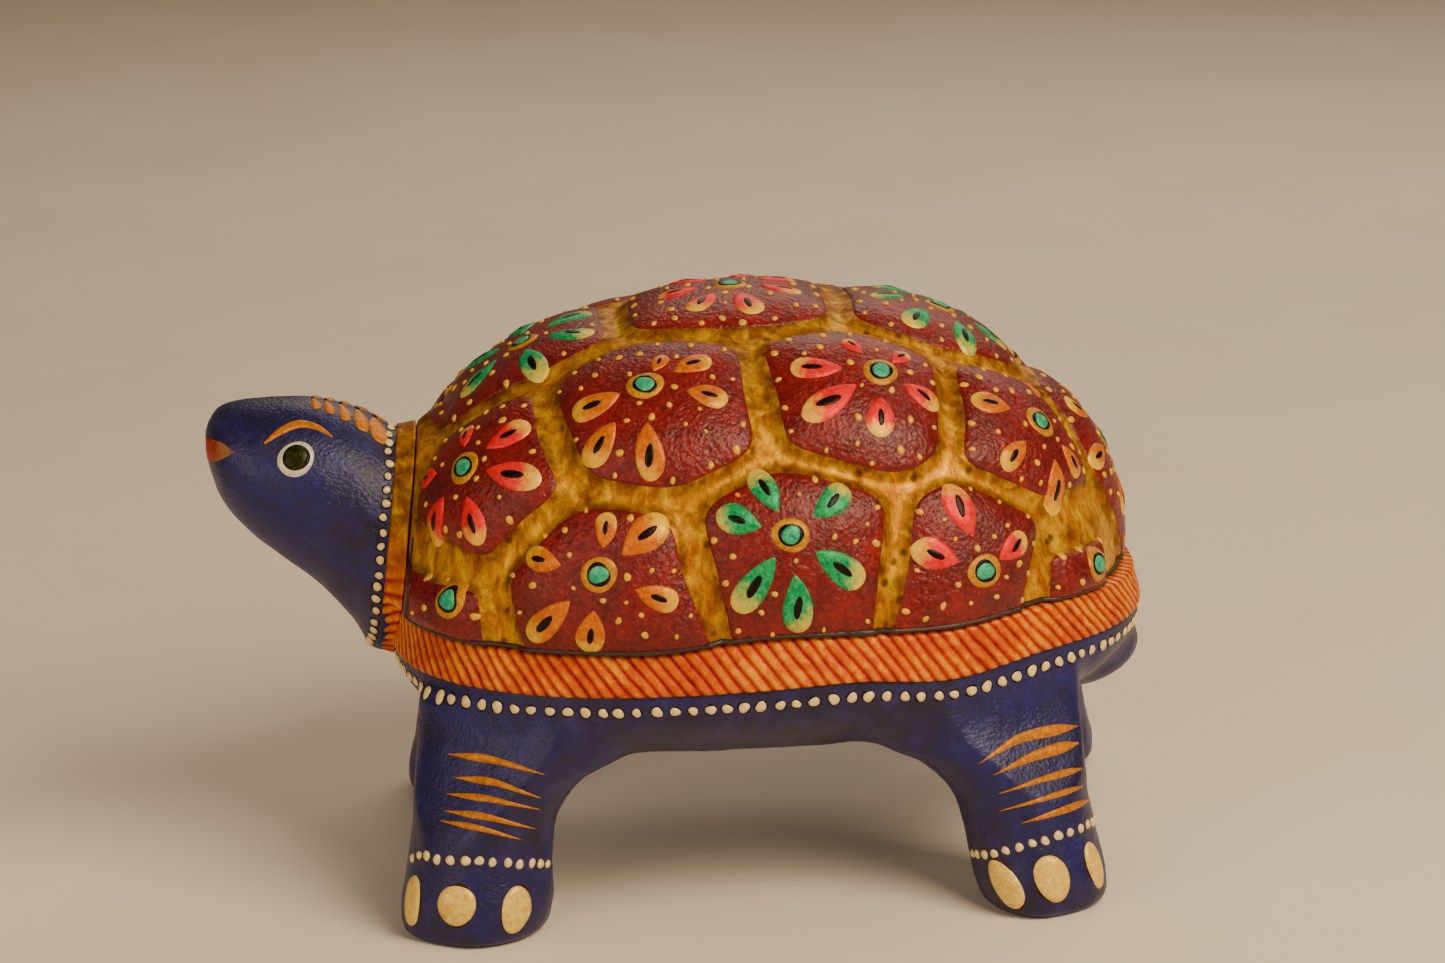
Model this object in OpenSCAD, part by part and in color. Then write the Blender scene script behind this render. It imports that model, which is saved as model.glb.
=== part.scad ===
// Painted tortoise box: a hollow body on four pegged legs, with a domed shell that lifts off as a lid.
// The head looks along -Y, the animal's left side is +X and +Z is up.
// The origin is on the ground, in the middle of the object's outer box.

/* [Overall] */
// Length from the tip of the nose to the back of the rim
overall_l = 151; // [146:1:156]
// Height of the parting line between lid and body above the ground
seam_z = 48; // [46:0.5:51]

/* [Shell lid] */
// Rise of the bare dome above the parting line
dome_rise = 43.5; // [40:0.5:47]
// Thickness of the lid's wall
lid_wall = 4; // [3:0.5:5]
// How far the lid's edge is set back from the top edge of the rim
rim_ledge = 0.4; // [0.2:0.1:1]
// How much shorter the shell's rear half is than its front half
rear_set = 2.3; // [1.5:0.1:3]
// Play all round between the lid and the lip that locates it
lid_play = 0.5; // [0.3:0.1:0.8]
// Height of the scute pads above the dome
pad_rise = 2.4; // [1.6:0.2:3]
// Width of the gold channel between two pads
channel_w = 4.6; // [3.6:0.2:6]

/* [Rim] */
// Length of the orange rim over its faces
rim_l = 123; // [119:1:127]
// Width of the orange rim over its faces
rim_w = 92; // [88:1:96]
// Height of the rim below the parting line
rim_h = 9; // [7:0.5:10]
// Thickness of the rim
rim_t = 2.2; // [1.8:0.1:3]
// How far the rim leans out from its top to its bottom
rim_flare = 1.4; // [1:0.1:1.8]

/* [Body] */
// Height of the belly above the ground
belly_z = 25; // [23:0.5:27]
// Thickness of the body's floor
tub_floor = 4; // [3:0.5:6]
// Width of the hollow at the parting line
hollow_w = 64; // [56:1:66]
// Length of the hollow at the parting line
hollow_l = 90; // [80:1:92]

/* [Neck and head] */
// Half height of the neck where it meets the collar
neck_hh = 18.4; // [17:0.2:20]
// Half width of the neck where it meets the collar
neck_hw = 15.6; // [14:0.2:17]
// Thickness of the collar
collar_t = 2.6; // [2.4:0.2:3.2]
// Angle that the collar leans back from upright
collar_lean = 8; // [7:0.5:9]

/* [Legs] */
// Radius of a foot at its widest
foot_r = 12.2; // [10.5:0.1:12.5]
// Distance of a foot's centre from the middle plane
foot_x = 35; // [33:0.5:37]
// Distance of the left front foot's centre ahead of the origin
front_foot_y = 36; // [34:0.5:37]
// Distance of the left rear foot's centre behind the origin
rear_foot_y = 53; // [51:0.5:55]
// How much further back the right front foot stands than the left one
front_stagger = 1.5; // [0:0.5:3]
// How much further back the right rear foot stands than the left one
rear_stagger = 8; // [0:0.5:9]

/* [Dowels] */
// Diameter of the four leg dowels
leg_dowel_d = 6; // [5:0.5:7]
// Diameter of the neck dowel
neck_dowel_d = 7; // [5:0.5:7]
// Diameter of the tail dowel
tail_dowel_d = 4; // [3:0.5:5]

/* [Hidden] */
LEFT = 1;
RIGHT = -1;
V_NAMES = [for (i = [1:4]) str("scute_vertebral_", i)];
C_NAMES = [for (side = ["left", "right"]) for (i = [1:4]) str("scute_costal_", side, "_", i)];
M_NAMES = [for (side = ["left", "right"]) for (i = [1:5]) str("scute_marginal_", side, "_", i)];
SCUTE_NAMES = concat(V_NAMES, C_NAMES, M_NAMES);

// Places worked out from the driving dimensions
rim_y = (overall_l - rim_l) / 2;      // middle of the rim and the shell
rim_z = seam_z - rim_h;               // underside of the rim
rim_set = rim_flare + rim_ledge;      // how far the dome stands back from the rim's widest face
dome_hw = rim_w / 2 - rim_set;        // half width of the dome at the parting line
dome_hl = rim_l / 2 - rim_set;        // length of the dome's front half there
dome_rear_hl = dome_hl - rear_set;    // length of its rear half
tub_hw = rim_w / 2 - rim_t;           // half width of the body behind the rim's lower edge
tub_hl = rim_l / 2 - rim_t;           // half length of the body there
front_n = 2.8;                        // squareness of the shell's front half seen from above
rear_n = 2.1;                         // squareness of its rear half
rise_n = 2.17;                        // squareness of the dome seen from the side, at its middle
rise_n_slope = -0.13;                 // how much that changes towards the tail
collar_z = seam_z + 6.5;              // height of the collar's middle
collar_y = rim_y - dome_hl + 1.4;     // middle of the collar's back face
lid_gap = 0.3;                        // air between the lid's front edge and the collar
past = 1;                             // how far a cutting shape runs past what it cuts
plan_steps = 56;                      // corners around the shell, rim and body

// Lip that locates the lid: it stands in a groove in the body and reaches up inside the lid
lip_t = 2;
lip_depth = 4;
lip_reach = 3;

// Glue line under a pad, and the shape of its domed top
glue = 0.25;
pad_edge = 0.35;
pad_steps = 28;
pad_rings = [0.4, 0.7, 0.9, 1];
corner_sharpness = 9;

// Scutes as [bearing, rise, largest reach sideways, largest reach up], in degrees seen from the
// middle of the dome's floor: bearing 0 is the left side, 90 the tail and -90 the neck
SPINE_SEEDS = [[-90, 50, 40, 40], [-90, 86, 40, 40], [90, 61, 40, 40], [90, 25, 25, 40]];
COSTAL_SEEDS = [[-51, 27, 40, 40], [-24, 44, 40, 40], [20.5, 47, 40, 40], [53, 33, 40, 40]];
MARGIN_SEEDS = [
    [-56, 3, 14.2, 8.4], [-27, 12, 40, 40], [2, 18, 40, 40], [33, 12, 40, 40], [55, 3, 11.2, 7.7]
];
NECK_SEED = [-90, 16];

function spow(v, p) = sign(v) * pow(abs(v), p);

// A closed ring of points around the shell's plan, or around a superellipse of squareness n,
// that is bigger all round by grow
function oval_ring(hw, hl, grow, z, n = 0, count = plan_steps) = [
    for (i = [0:count - 1])
        let (t = 360 * i / count, m = n > 0 ? n : t > 180 ? front_n : rear_n)
        [(hw + grow) * spow(cos(t), 2 / m), rim_y + (hl + grow) * spow(sin(t), 2 / m), z]
];

// The side faces between rings of points, from ring r to the next one
function side_faces(r, next, count) = [
    for (i = [0:count - 1])
        let (j = (i + 1) % count)
        each [
            [r * count + i, next * count + i, r * count + j],
            [r * count + j, next * count + i, next * count + j]
        ]
];

// A closed solid through rings of points that all have the same count
module loft(rings) {
    count = len(rings[0]);
    last = len(rings) - 1;
    sides = [for (r = [0:last - 1]) each side_faces(r, r + 1, count)];
    bottom = [[for (i = [0:count - 1]) i]];
    top = [[for (i = [count - 1:-1:0]) last * count + i]];
    polyhedron(points = [for (ring = rings) each ring], faces = concat(bottom, sides, top), convexity = 6);
}

// A closed hoop through rings of points that go up the outside first and come down the inside
module hoop(rings) {
    last = len(rings) - 1;
    faces = [for (r = [0:last]) each side_faces(r, r == last ? 0 : r + 1, plan_steps)];
    polyhedron(points = [for (ring = rings) each ring], faces = faces, convexity = 6);
}

// A unit vector at a bearing and a rise
function heading(bearing, rise) = [cos(rise) * cos(bearing), cos(rise) * sin(bearing), sin(rise)];

// The point of the dome in the direction p, on a dome that is bigger all round by grow
function dome_point(p, grow) =
    let (
        n = p.y < 0 ? front_n : rear_n,
        m = rise_n + rise_n_slope * p.y,
        plan = pow(pow(abs(p.x), n) + pow(abs(p.y), n), m / n),
        k = pow(plan + pow(abs(p.z), m), -1 / m),
        hl = p.y < 0 ? dome_hl : dome_rear_hl
    )
    [k * p.x * (dome_hw + grow), rim_y + k * p.y * (hl + grow), seam_z + k * p.z * (dome_rise + grow)];

// The dome's plan at the parting line, as a ring of points at any height
function dome_ring(grow, z) = [
    for (i = [0:plan_steps - 1])
        let (p = dome_point(heading(360 * i / plan_steps, 0), grow))
        [p.x, p.y, z]
];

// The solid under a dome, with a straight skirt below the parting line where skirt is over 0
module dome_solid(grow, skirt) {
    levels = 13;
    steep = 87;
    rings = [
        for (level = [0:levels - 1])
            [
                for (i = [0:plan_steps - 1])
                    dome_point(heading(360 * i / plan_steps, steep * level / (levels - 1)), grow)
            ]
    ];
    loft(skirt > 0 ? concat([dome_ring(grow, seam_z - skirt)], rings) : rings);
}

// The collar's own frame: its back face is the plane y = 0 and its z axis runs up the lean
module at_collar() {
    translate([0, collar_y, collar_z]) rotate([-collar_lean, 0, 0]) children();
}

// Everything in front of a plane that stands gap behind the collar's back face
module ahead_of_collar(gap) {
    reach = 90;
    at_collar() translate([-reach / 2, gap - reach, -reach / 2]) cube(reach);
}

// The leaning oval plate itself, without its dowel hole
module collar_plate() {
    count = 48;
    profile = [[-1, 0.6], [-0.75, 1.2], [-0.25, 1.2], [0, 0.6]];
    at_collar() loft([
        for (step = profile) [
            for (i = [0:count - 1])
                let (t = 360 * i / count)
                [-(neck_hw + step[1]) * cos(t), step[0] * collar_t, (neck_hh + step[1]) * sin(t)]
        ]
    ]);
}

// A straight round peg from one point to another
module peg(ends, d) {
    way = ends[1] - ends[0];
    translate(ends[0])
        rotate([0, acos(way.z / norm(way)), atan2(way.y, way.x)])
            cylinder(h = norm(way), d = d, $fn = 48);
}

// A leg runs from its foot up and inwards to its hip, under the rim
function foot_at(side, rear) =
    let (stagger = side == RIGHT ? (rear ? rear_stagger : front_stagger) : 0)
    [side * foot_x, (rear ? rear_foot_y : -front_foot_y) + stagger, 0];
function hip_at(side, rear) = foot_at(side, rear) + [-5 * side, rear ? -5 : 5, rim_z];
function leg_peg(side, rear) =
    let (foot = foot_at(side, rear), hip = hip_at(side, rear))
    [foot + (hip - foot) * 0.35, hip + [-2.5 * side, rear ? -3 : 3, 1]];
neck_peg = [[0, collar_y - 13, collar_z - 1], [0, collar_y + 9, seam_z - 15]];
tail_peg = [[0, overall_l / 2 - 3, rim_z - 7], [0, overall_l / 2 - 16, rim_z - 6]];

// The outside of the hollow body: a rounded belly with straight sides behind the rim
module body_outside() {
    levels = 6;
    belly_n = 2.2;
    flat_w = 0.52;
    flat_l = 0.55;
    belly = [
        for (i = [0:levels])
            let (t = i / levels, out = pow(1 - pow(1 - t, belly_n), 1 / belly_n))
            oval_ring(
                tub_hw * (flat_w + (1 - flat_w) * out),
                tub_hl * (flat_l + (1 - flat_l) * out),
                0, belly_z + (rim_z - belly_z) * t
            )
    ];
    loft(concat(belly, [oval_ring(tub_hw, tub_hl, -rim_flare, seam_z)]));
}

// The space inside the body
module body_hollow() {
    levels = 4;
    floor_z = belly_z + tub_floor;
    round_n = 2;
    loft([
        for (i = [0:levels])
            let (t = i / levels, out = 0.8 + 0.2 * pow(1 - pow(1 - t, 2.4), 1 / 2.4))
            oval_ring(hollow_w / 2 * out, hollow_l / 2 * out, 0, floor_z + (seam_z + past - floor_z) * t, round_n, 48)
    ]);
}

module torso_tub() {
    color("midnightblue")
        difference() {
            body_outside();
            body_hollow();
            lip_hoop();
            collar_plate();
            peg(neck_peg, neck_dowel_d);
            peg(tail_peg, tail_dowel_d);
            for (side = [LEFT, RIGHT])
                for (rear = [false, true])
                    peg(leg_peg(side, rear), leg_dowel_d);
        }
}

module rim_band() {
    ease = 0.6;
    profile = [
        [rim_t - ease, rim_z], [rim_t, rim_z + ease], [rim_t, seam_z - ease],
        [rim_t - ease, seam_z], [0, seam_z], [0, rim_z]
    ];
    color("darkorange")
        difference() {
            hoop([
                for (p = profile)
                    let (lean = rim_flare * (p[1] - rim_z) / rim_h)
                    oval_ring(tub_hw, tub_hl, p[0] - lean, p[1])
            ]);
            collar_plate();
            peg(neck_peg, neck_dowel_d);
        }
}

// The lip's whole outline, left open at the front where the collar stands
module lip_hoop() {
    opening = 2 * (neck_hw + 4);
    outside = -lid_wall - lid_play;
    inside = outside - lip_t;
    difference() {
        hoop([
            dome_ring(outside, seam_z - lip_depth), dome_ring(outside, seam_z + lip_reach),
            dome_ring(inside, seam_z + lip_reach), dome_ring(inside, seam_z - lip_depth)
        ]);
        translate([-opening / 2, -overall_l, 0]) cube([opening, overall_l, 2 * seam_z]);
    }
}

module locating_lip() {
    color("burlywood") lip_hoop();
}

module neck_collar() {
    color("goldenrod")
        difference() {
            collar_plate();
            peg(neck_peg, neck_dowel_d);
        }
}

// A neck or head section: an oval between two heights, leaning back with the collar or upright
function head_ring(y, top, bottom, hw, lean) = [
    for (i = [0:31])
        let (t = 360 * i / 32, hh = (top - bottom) / 2)
        [hw * cos(t), y + hh * sin(t) * tan(lean), (top + bottom) / 2 + hh * sin(t)]
];

module head() {
    neck_face_y = collar_y - collar_t / cos(collar_lean);
    neck_top = neck_hh * cos(collar_lean);
    // Sections as [distance behind the nose, top and bottom above the parting line, half width, lean]
    sections = [
        [23.5, 28, -5.6, 14.8, 6], [18, 30.1, -0.2, 14.2, 3], [11.5, 30.7, 4.9, 13.2, 1],
        [6, 30.5, 9.6, 11.3, 0], [2.5, 29.6, 14, 8.6, 0], [0.8, 27.6, 18.7, 5.4, 0],
        [0, 25.5, 22, 2.4, 0]
    ];
    neck = [head_ring(neck_face_y, collar_z + neck_top, collar_z - neck_top, neck_hw, collar_lean)];
    rest = [
        for (s = sections)
            head_ring(s[0] - overall_l / 2, seam_z + s[1], seam_z + s[2], s[3], s[4])
    ];
    color("midnightblue")
        difference() {
            loft(concat(neck, rest));
            peg(neck_peg, neck_dowel_d);
        }
}

module neck_dowel() {
    color("burlywood") peg(neck_peg, neck_dowel_d);
}

module leg(side, rear) {
    // Radius up the leg, as [share of its height, share of foot_r]
    shape = [[0, 0.87], [0.03, 0.97], [0.12, 1], [0.26, 0.94], [0.45, 0.92], [0.7, 0.98], [0.86, 1.05], [1, 1.12]];
    foot = foot_at(side, rear);
    hip = hip_at(side, rear);
    color("midnightblue")
        difference() {
            loft([
                for (s = shape) [
                    for (i = [0:31])
                        foot + (hip - foot) * s[0] + foot_r * s[1] * [cos(360 * i / 32), sin(360 * i / 32), 0]
                ]
            ]);
            body_outside();
            peg(leg_peg(side, rear), leg_dowel_d);
        }
}

module leg_dowel(side, rear) {
    color("burlywood") peg(leg_peg(side, rear), leg_dowel_d);
}

// The blunt tail: the end of a long egg that sits inside the body, under the back of the rim
module tail() {
    lobe_hw = 11;
    lobe_hh = 7.5;
    lobe_l = 15.2;
    levels = 12;
    middle_z = rim_z - lobe_hh;
    middle_y = overall_l / 2 - 0.2 - lobe_l;
    color("midnightblue")
        difference() {
            loft([
                for (i = [0:levels])
                    let (turn = -70 + 155 * i / levels)
                    [
                        for (k = [0:23])
                            let (t = 360 * k / 24)
                            [
                                -lobe_hw * cos(turn) * cos(t),
                                middle_y + lobe_l * sin(turn),
                                middle_z + lobe_hh * cos(turn) * sin(t)
                            ]
                    ]
            ]);
            body_outside();
            peg(tail_peg, tail_dowel_d);
        }
}

module tail_dowel() {
    color("burlywood") peg(tail_peg, tail_dowel_d);
}

module shell_lid() {
    color("goldenrod")
        difference() {
            dome_solid(0, 0);
            dome_solid(-lid_wall, past);
            ahead_of_collar(lid_gap);
        }
}

// Every scute's middle, in the order of SCUTE_NAMES
function mirrored(seeds) = [for (s = seeds) [180 - s[0], s[1], s[2], s[3]]];
SEEDS = concat(SPINE_SEEDS, COSTAL_SEEDS, mirrored(COSTAL_SEEDS), MARGIN_SEEDS, mirrored(MARGIN_SEEDS));
SEED_HEADINGS = [for (s = concat(SEEDS, [NECK_SEED])) heading(s[0], s[1])];

function total(v) = v * [for (x = v) 1];

// How far a pad reaches from its middle in one direction: up to the bisectors with all its
// neighbours, with its corners rounded, less half a channel, and no lower than the parting line
function pad_reach(middle, way, sideways, upwards, seed) =
    let (
        pulls = [
            for (other = SEED_HEADINGS)
                let (across = other * way)
                if (across > 0.02 && norm(other - middle) > 0.01)
                    pow(across / (1 - other * middle), corner_sharpness)
        ],
        limits = [
            pow(abs(sideways) / tan(seed[2]), corner_sharpness),
            pow(abs(upwards) / tan(seed[3]), corner_sharpness)
        ],
        reach = atan(pow(total(concat(pulls, limits)), -1 / corner_sharpness)),
        channel = channel_w / 2 / dome_hl * 180 / PI,
        to_seam = way.z < -0.02 ? atan(-middle.z / way.z) : 90
    )
    min(reach - channel, to_seam);

// A raised pad: a closed cushion on the dome, with its edge standing a little proud
module pad(index) {
    s = SEEDS[index];
    middle = heading(s[0], s[1]);
    across = heading(s[0] + 90, 0);
    up = cross(middle, across);
    turns = [for (i = [0:pad_steps - 1]) 360 * i / pad_steps];
    ways = [for (t = turns) cos(t) * across + sin(t) * up];
    reaches = [for (i = [0:pad_steps - 1]) pad_reach(middle, ways[i], cos(turns[i]), sin(turns[i]), s)];
    function ring(share, grow) = [
        for (i = [0:pad_steps - 1])
            let (a = reaches[i] * share)
            dome_point(cos(a) * middle + sin(a) * ways[i], grow)
    ];
    function height(share) = glue + pad_rise * (pad_edge + (1 - pad_edge) * sqrt(1 - pow(share, 3)));
    top = [for (i = [len(pad_rings) - 1:-1:0]) ring(pad_rings[i], height(pad_rings[i]))];
    base = [ring(0.35, glue), ring(0.7, glue), ring(1, glue)];
    rings = concat(base, top);
    last = len(rings) - 1;
    points = concat([for (r = rings) each r], [dome_point(middle, glue), dome_point(middle, height(0))]);
    low = len(points) - 2;
    sides = [for (r = [0:last - 1]) each side_faces(r, r + 1, pad_steps)];
    bottom_fan = [for (i = [0:pad_steps - 1]) [low, i, (i + 1) % pad_steps]];
    top_fan = [for (i = [0:pad_steps - 1]) [low + 1, last * pad_steps + (i + 1) % pad_steps, last * pad_steps + i]];
    color("darkred")
        difference() {
            polyhedron(points = points, faces = concat(bottom_fan, sides, top_fan), convexity = 4);
            ahead_of_collar(lid_gap);
        }
}

torso_tub();
rim_band();
locating_lip();
neck_collar();
head();
neck_dowel();
leg(LEFT, false);  // leg_front_left
leg(RIGHT, false);  // leg_front_right
leg(LEFT, true);  // leg_rear_left
leg(RIGHT, true);  // leg_rear_right
leg_dowel(LEFT, false);  // dowel_front_left
leg_dowel(RIGHT, false);  // dowel_front_right
leg_dowel(LEFT, true);  // dowel_rear_left
leg_dowel(RIGHT, true);  // dowel_rear_right
tail();
tail_dowel();
shell_lid();
for (i = [0:len(SCUTE_NAMES) - 1])
    pad(i);
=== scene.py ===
"""Painted tortoise box: a papier-mache body on four legs, with a domed lid of raised, flowered scutes.

Lengths are in millimetres until a mesh is made. The head looks along -Y, the animal's left side is
+X and +Z is up, as in the CAD model. The dome, its scutes, the rim, the collar, the neck and the legs
repeat the formulas and the driving sizes of part.scad, at a finer step.
"""

import math

import bmesh
import bpy
import numpy as np
from mathutils import Matrix, Vector, noise
from mathutils.bvhtree import BVHTree


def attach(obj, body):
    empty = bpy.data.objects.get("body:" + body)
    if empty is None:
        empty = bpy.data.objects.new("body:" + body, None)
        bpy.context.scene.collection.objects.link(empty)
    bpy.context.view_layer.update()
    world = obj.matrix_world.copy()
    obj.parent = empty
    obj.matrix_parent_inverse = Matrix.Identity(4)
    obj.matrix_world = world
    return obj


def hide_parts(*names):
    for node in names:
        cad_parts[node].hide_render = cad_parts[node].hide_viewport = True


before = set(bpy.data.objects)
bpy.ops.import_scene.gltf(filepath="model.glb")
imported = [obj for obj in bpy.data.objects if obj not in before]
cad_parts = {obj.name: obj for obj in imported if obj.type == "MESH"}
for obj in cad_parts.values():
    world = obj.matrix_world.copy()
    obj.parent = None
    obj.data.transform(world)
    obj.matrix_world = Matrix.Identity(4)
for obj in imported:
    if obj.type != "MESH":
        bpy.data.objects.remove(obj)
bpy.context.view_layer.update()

MM = 0.001

# ---------------------------------------------------------------- sizes, as in part.scad
OVERALL_L = 151.0
SEAM_Z = 48.0
DOME_RISE = 43.5
LID_WALL = 4.0
RIM_LEDGE = 0.4
REAR_SET = 2.3
PAD_RISE = 2.4
CHANNEL_W = 4.6
RIM_L = 123.0
RIM_W = 92.0
RIM_H = 9.0
RIM_T = 2.2
RIM_FLARE = 1.4
BELLY_Z = 25.0
TUB_FLOOR = 4.0
HOLLOW_W = 64.0
HOLLOW_L = 90.0
NECK_HH = 18.4
NECK_HW = 15.6
COLLAR_T = 2.6
COLLAR_LEAN = 8.0
FOOT_R = 12.2
FOOT_X = 35.0
FRONT_FOOT_Y = 36.0
REAR_FOOT_Y = 53.0
FRONT_STAGGER = 1.5
REAR_STAGGER = 8.0
HIP_IN = 5.0

RIM_Y = (OVERALL_L - RIM_L) / 2
RIM_Z = SEAM_Z - RIM_H
DOME_HW = RIM_W / 2 - RIM_FLARE - RIM_LEDGE
DOME_HL = RIM_L / 2 - RIM_FLARE - RIM_LEDGE
DOME_REAR_HL = DOME_HL - REAR_SET
TUB_HW = RIM_W / 2 - RIM_T
TUB_HL = RIM_L / 2 - RIM_T
FRONT_N = 2.8
REAR_N = 2.1
RISE_N = 2.17
RISE_N_SLOPE = -0.13
COLLAR_Z = SEAM_Z + 6.5
COLLAR_Y = RIM_Y - DOME_HL + 1.4
LID_GAP = 0.12
LID_MEETS_COLLAR = 0.2

# The collar's back face leans back: its middle, the way out of its back and the way up it.
LEAN = math.radians(COLLAR_LEAN)
COLLAR_MIDDLE = np.array([0, COLLAR_Y, COLLAR_Z])
COLLAR_BACK = np.array([0, math.cos(LEAN), -math.sin(LEAN)])
COLLAR_UP = np.array([0, math.sin(LEAN), math.cos(LEAN)])

# Each leg is given by its side, 1 for the left and -1 for the right, and whether it is at the rear.
LEGS = [(side, rear) for side in (1, -1) for rear in (False, True)]

# Each scute's middle as [bearing, rise], and the most that it reaches across and up, all in degrees.
SPINE_SEEDS = [[-90, 50, 40, 40], [-90, 86, 40, 40], [90, 61, 40, 40], [90, 25, 25, 40]]
COSTAL_SEEDS = [[-51, 27, 40, 40], [-24, 44, 40, 40], [20.5, 47, 40, 40], [53, 33, 40, 40]]
MARGIN_SEEDS = [
    [-56, 3, 14.2, 8.4], [-27, 12, 40, 40], [2, 18, 40, 40], [33, 12, 40, 40], [55, 3, 11.2, 7.7],
]
NECK_SEED = [-90, 16]


def mirrored(seeds):
    """The same scutes on the right side."""
    return [[180 - bearing, rise, wide, tall] for bearing, rise, wide, tall in seeds]


SEEDS = SPINE_SEEDS + COSTAL_SEEDS + mirrored(COSTAL_SEEDS) + MARGIN_SEEDS + mirrored(MARGIN_SEEDS)
SCUTE_NAMES = (
    [f"scute_vertebral_{i}" for i in range(1, 5)]
    + [f"scute_costal_{side}_{i}" for side in ("left", "right") for i in range(1, 5)]
    + [f"scute_marginal_{side}_{i}" for side in ("left", "right") for i in range(1, 6)]
)


# ---------------------------------------------------------------- small helpers
def rows(*parts):
    """Stacks broadcastable coordinates into an array of points."""
    return np.stack(np.broadcast_arrays(*parts), -1).astype(float)


def spow(value, power):
    """A power that keeps the value's sign."""
    return np.sign(value) * np.abs(value) ** power


def ease(low, high, value):
    """0 below low, 1 above high and smooth between them."""
    t = np.clip((value - low) / (high - low), 0, 1)
    return t * t * (3 - 2 * t)


def circle(count):
    """Angles that divide a whole turn into equal parts."""
    return np.linspace(0, 2 * math.pi, count, endpoint=False)


def length_along(path):
    """The length up to each point of a path."""
    return np.concatenate([[0], np.cumsum(np.linalg.norm(np.diff(path, axis=0), axis=1))])


def point_along(path, gone, at):
    """Where a flat path is at a length along it. gone is the length up to each of its points."""
    return np.stack([np.interp(at, gone, path[:, axis]) for axis in (0, 1)], -1)


def ripple(points, size, octaves=3, shift=0.0):
    """Smooth noise of about -1 to 1 at each point, with lumps of about this size in mm."""
    flat = np.asarray(points, float).reshape(-1, 3) / size + shift
    values = [noise.fractal(Vector(p), 1.0, 2.0, octaves) for p in flat]
    return np.array(values).reshape(np.shape(points)[:-1])


def unit(vectors):
    """The same directions at a length of 1."""
    return vectors / np.linalg.norm(vectors, axis=-1, keepdims=True)


def paint(red, green, blue):
    """A colour as painted, in 0 to 255 steps, turned into the linear values that shaders use."""
    steps = np.array([red, green, blue]) / 255
    linear = np.where(steps <= 0.04045, steps / 12.92, ((steps + 0.055) / 1.055) ** 2.4)
    return (*[float(v) for v in linear], 1.0)


# ---------------------------------------------------------------- the dome and its scutes
def heading(bearing, rise):
    """A unit vector at a bearing and a rise in degrees: bearing 0 is the left side, 90 the tail."""
    b, r = np.radians(bearing), np.radians(rise)
    return rows(np.cos(r) * np.cos(b), np.cos(r) * np.sin(b), np.sin(r))


def dome_point(way, grow):
    """The point of the dome in a direction, on a dome that is bigger all round by grow."""
    x, y, z = way[..., 0], way[..., 1], way[..., 2]
    n = np.where(y < 0, FRONT_N, REAR_N)
    m = RISE_N + RISE_N_SLOPE * y
    plan = (np.abs(x) ** n + np.abs(y) ** n) ** (m / n)
    k = (plan + np.abs(z) ** m) ** (-1 / m)
    half_length = np.where(y < 0, DOME_HL, DOME_REAR_HL)
    return rows(
        k * x * (DOME_HW + grow),
        RIM_Y + k * y * (half_length + grow),
        SEAM_Z + k * z * (DOME_RISE + grow),
    )


# How far the parting line and the rim's lower edge wander, as [y, rise].
SEAM_WANDER = [
    [-56, 0], [-38, -1.3], [-17, -1.75], [-4, -1.6], [5, -0.4],
    [11, 0], [25, -0.1], [40, -0.8], [55, 0], [70, -1.1],
]
EDGE_WANDER = [[-56, 0], [-38, 0], [-17, -0.2], [11, 0.3], [25, 0.8], [40, -0.5], [55, 1.2], [70, 1]]


WANDER_TOP_Z = 76.0


def settle(points):
    """The hand-made piece's parting line and rim wander up and down, and what is near them follows."""
    y, z = points[..., 1], points[..., 2]
    seam = curve_at_y(SEAM_WANDER, y) * ease(RIM_Z, SEAM_Z, z) * (1 - ease(SEAM_Z + 3, WANDER_TOP_Z, z))
    edge = curve_at_y(EDGE_WANDER, y) * (1 - ease(RIM_Z, SEAM_Z, z)) * ease(BELLY_Z, RIM_Z, z)
    moved = np.array(points, float)
    moved[..., 2] = z + seam + edge
    return moved


def curve_at_y(marks, y):
    """The value at y of a smooth curve through [y, value] marks."""
    places, values = np.array(marks, float).T
    return curve_through(places, values, np.clip(y, places[0], places[-1]))


SEED_HEADINGS = np.array([heading(s[0], s[1]) for s in SEEDS + [NECK_SEED]])


def scute_axes(index):
    """The middle of a scute and its directions across and up, as unit vectors."""
    bearing, rise = SEEDS[index][:2]
    middle = heading(bearing, rise)
    across = heading(bearing + 90, 0)
    return middle, across, np.cross(middle, across)


CORNER_SHARPNESS = 9


def scute_reach(index, ways):
    """How far a scute reaches from its middle in each direction, in degrees.

    Each neighbour pulls its border to the half-way plane between them, and high powers of the pulls
    add up to a polygon with rounded corners. The border stays half a channel short of that.
    """
    middle, across, up = scute_axes(index)
    pulls = np.zeros(len(ways))
    for other in SEED_HEADINGS:
        if np.linalg.norm(other - middle) < 0.01:
            continue
        along = ways @ other
        pulls += np.where(along > 0.02, np.abs(along) / (1 - other @ middle), 0) ** CORNER_SHARPNESS
    for axis, largest in ((across, SEEDS[index][2]), (up, SEEDS[index][3])):
        pulls += (np.abs(ways @ axis) / math.tan(math.radians(largest))) ** CORNER_SHARPNESS
    reach = np.degrees(np.arctan(pulls ** (-1 / CORNER_SHARPNESS)))
    channel = math.degrees(CHANNEL_W / 2 / DOME_HL)
    steep = np.where(ways[:, 2] < -0.02, ways[:, 2], -1)
    to_seam = np.where(ways[:, 2] < -0.02, np.degrees(np.arctan(-middle[2] / steep)), 90)
    return np.minimum(reach - channel, to_seam)


FAR_OUT = 9.0
WIDEST_SCUTE = 48.0


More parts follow.
